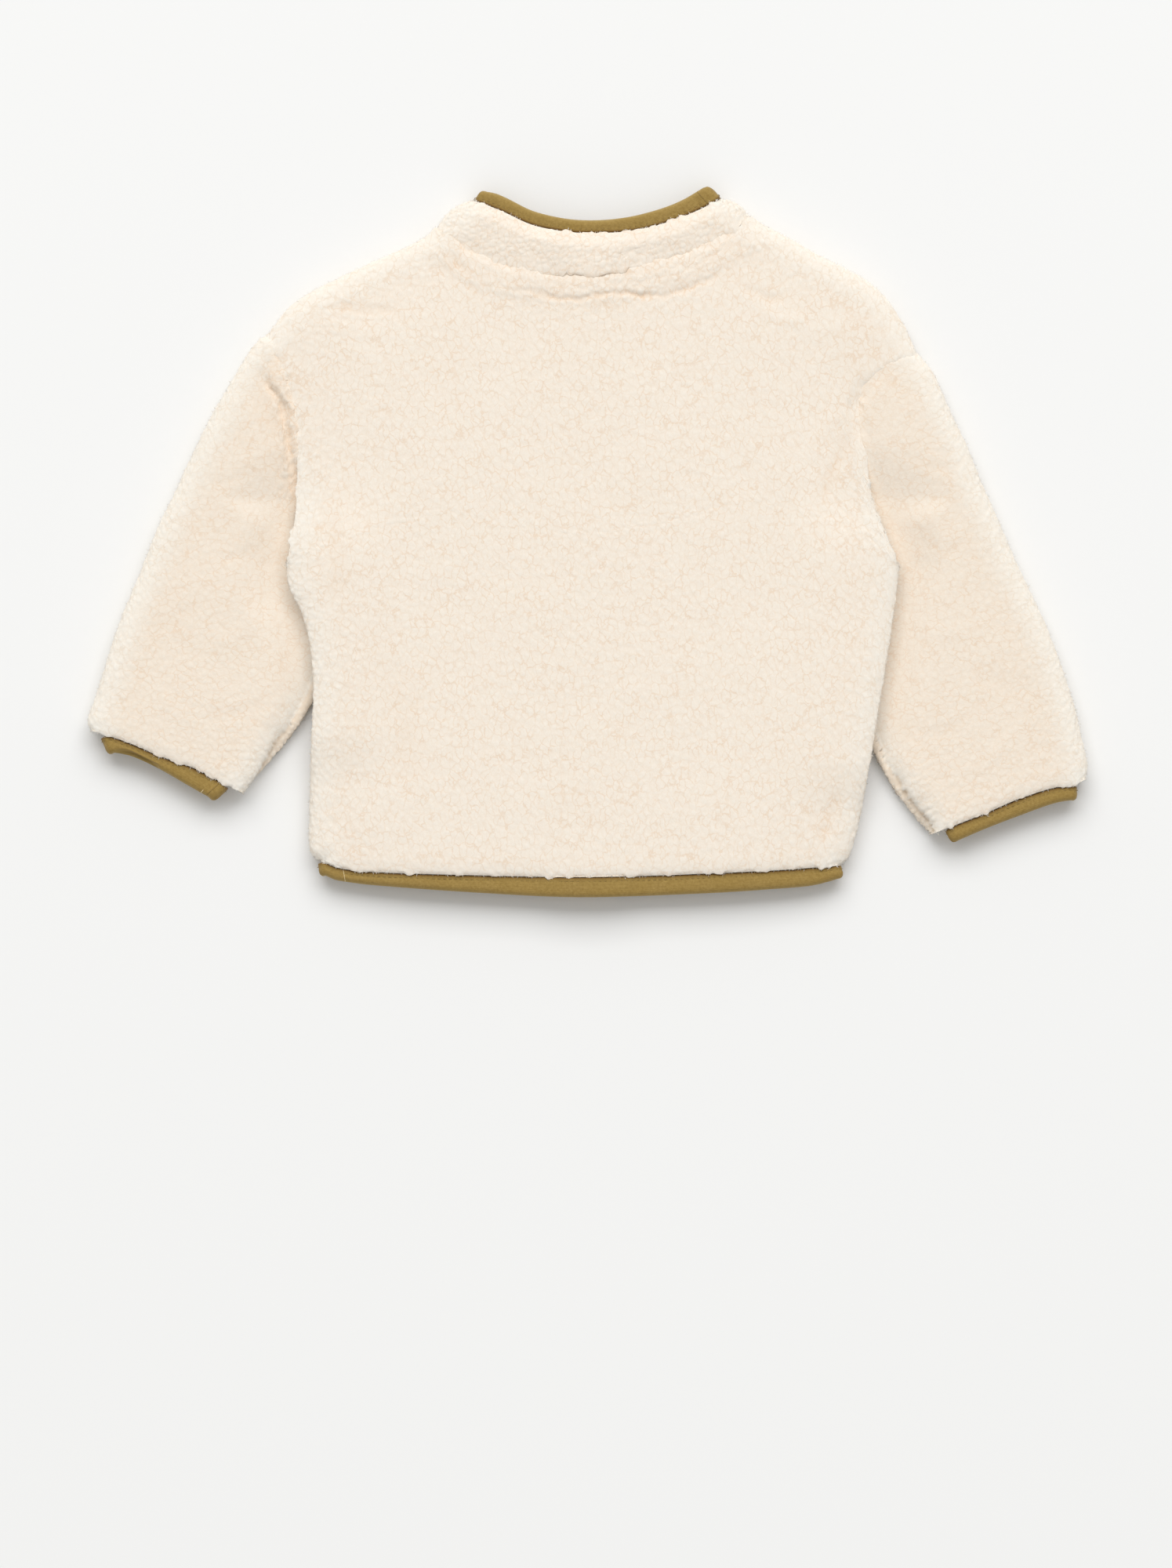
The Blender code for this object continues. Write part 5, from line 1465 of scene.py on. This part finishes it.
def make_bindings():
    """All the bindings, with the joins, loose threads and parted layers that show. The
    places are on the tapes' middles."""
    run = tape_run(trimmed(LINES["hem"], 1.2, 2.4), LINES["hem_edge"])
    corners = {"left": LINES["hem"][0], "right": LINES["hem"][-1]}
    made = {"hem": make_binding("hem_binding", folded_guides(run, run, corners), join=(
        (-146, -174), (-131, -179)), threads=(((-130.2, -180), TACKING, 0.22, 1),))}
    corners = {"left": np.array([-1000, 1000]), "right": np.array([1000, 1000])}
    runs = [tape_run(trimmed(LINES[f"collar_top_{part}"], 4.5, 2.5),
                     LINES[f"neck_edge_{part}"]) for part in ("back", "front")]
    made["neck"] = make_binding("neck_binding", folded_guides(*runs, corners), join=(
        (60, 184), (80, 190)), threads=(((61, 184.5), THREAD, 0.25, 1),))
    ends = {"left": ((-200, -133), (-190, -141)), "right": ((195, -158), (186, -162))}
    tacks = {"left": (((-203.5, -132), TACKING, 0.3, 8),), "right": ()}
    for side, end in ends.items():
        made[f"cuff_{side}"] = make_binding(
            f"cuff_binding_{side}", cuff_guides(side), True, join=end,
            threads=((end[0], THREAD, 0.25, 1), *tacks[side]),
            slit=((-256, -108), (-229, -119)) if side == "left" else None)
        made[f"front_{side}"] = make_binding(f"front_binding_{side}", front_guides(side))
    return made


# Across a press stud's cap: distance from its middle and height above the floor
STUD_PROFILE = ((4.1, 2.7), (4.5, 2.4), (4.5, 1.7), (4.25, 1.3), (3.9, 1.2), (3.6, 1.3),
                (3.4, 1.5), (3.0, 1.42), (2.0, 1.28), (1.0, 1.21))
STUD_SIDES = 32


def make_studs():
    """The caps of the press studs: a spun profile, a low dome in a rolled rim, facing
    the ground."""
    turn = np.linspace(0, 2 * np.pi, STUD_SIDES, endpoint=False)
    radius, height = np.array(STUD_PROFILE).T[..., None]
    j = np.arange(STUD_SIDES)
    k = np.roll(j, -1)
    end = radius.size * STUD_SIDES
    triangles = np.vstack([
        grid_triangles(len(radius), STUD_SIDES, True),
        np.column_stack([0 * j + end, k, j]),
        np.column_stack([0 * j + end + 1, end - STUD_SIDES + j, end - STUD_SIDES + k])])
    for i, (x, y) in enumerate(STUD_PLACES):
        spun = np.dstack([x + radius * np.cos(turn), y + radius * np.sin(turn),
                          height + 0 * turn])
        points = np.vstack([spun.reshape(-1, 3), [(x, y, 2.7), (x, y, 1.2)]])
        made = mesh_piece(f"press_stud_cap_{i + 1}", points, triangles, [BRASS])
        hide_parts(f"press_stud_{i + 1}")


back, back_fuzz = make_back()
fronts = {side: make_front(side) for side in ("left", "right")}
sleeves = {side: make_sleeve(side) for side in ("left", "right")}
collar, collar_fuzz = make_collar()
bindings = make_bindings()
make_studs()
body_fuzz = make_fuzz("body_edge_pile", back_fuzz, 21)
front_fuzz = make_fuzz("front_edge_pile", fronts["left"][1] + fronts["right"][1], 22)
collar_pile = make_fuzz("collar_edge_pile", collar_fuzz, 23)
sleeve_fuzz = {side: make_fuzz(f"sleeve_{side}_edge_pile", sleeves[side][1], 24)
               for side in sleeves}


# ---- Floor, light and camera

def placed(name, data, location=(0, 0, 0), rotation=(0, 0, 0)):
    made = bpy.data.objects.new(name, data)
    bpy.context.scene.collection.objects.link(made)
    made.location, made.rotation_euler = location, rotation
    return made


floor_mesh = bpy.data.meshes.new("floor")
floor_mesh.from_pydata([(-3, -3, 0), (3, -3, 0), (3, 3, 0), (-3, 3, 0)], [], [(0, 1, 2, 3)])
floor_mesh.materials.append(floor_material())
placed("floor", floor_mesh)

scene = bpy.context.scene
scene.view_settings.view_transform = "Standard"
scene.world = bpy.data.worlds.new("studio_white")
scene.world.use_nodes = True
sky = scene.world.node_tree.nodes["Background"]
finished(sky, Color=hex_colour("#FBFBFA"), Strength=SKY_STRENGTH)

softbox = bpy.data.lights.new("softbox", "AREA")
softbox.shape = "RECTANGLE"
softbox.size, softbox.size_y = SOFTBOX_SIZE
softbox.energy = SOFTBOX_WATTS
placed("softbox", softbox, (0, SOFTBOX_AWAY * math.sin(SOFTBOX_TILT),
                            SOFTBOX_AWAY * math.cos(SOFTBOX_TILT)), (-SOFTBOX_TILT, 0, 0))

camera = bpy.data.cameras.new("camera")
camera.sensor_fit = "VERTICAL"
camera.sensor_height = 24
camera.lens = camera.sensor_height * 5.0 / FRAME_HEIGHT
camera.clip_end = 50
scene.camera = placed("camera", camera, (*CAMERA_PLACE, CAMERA_HEIGHT))
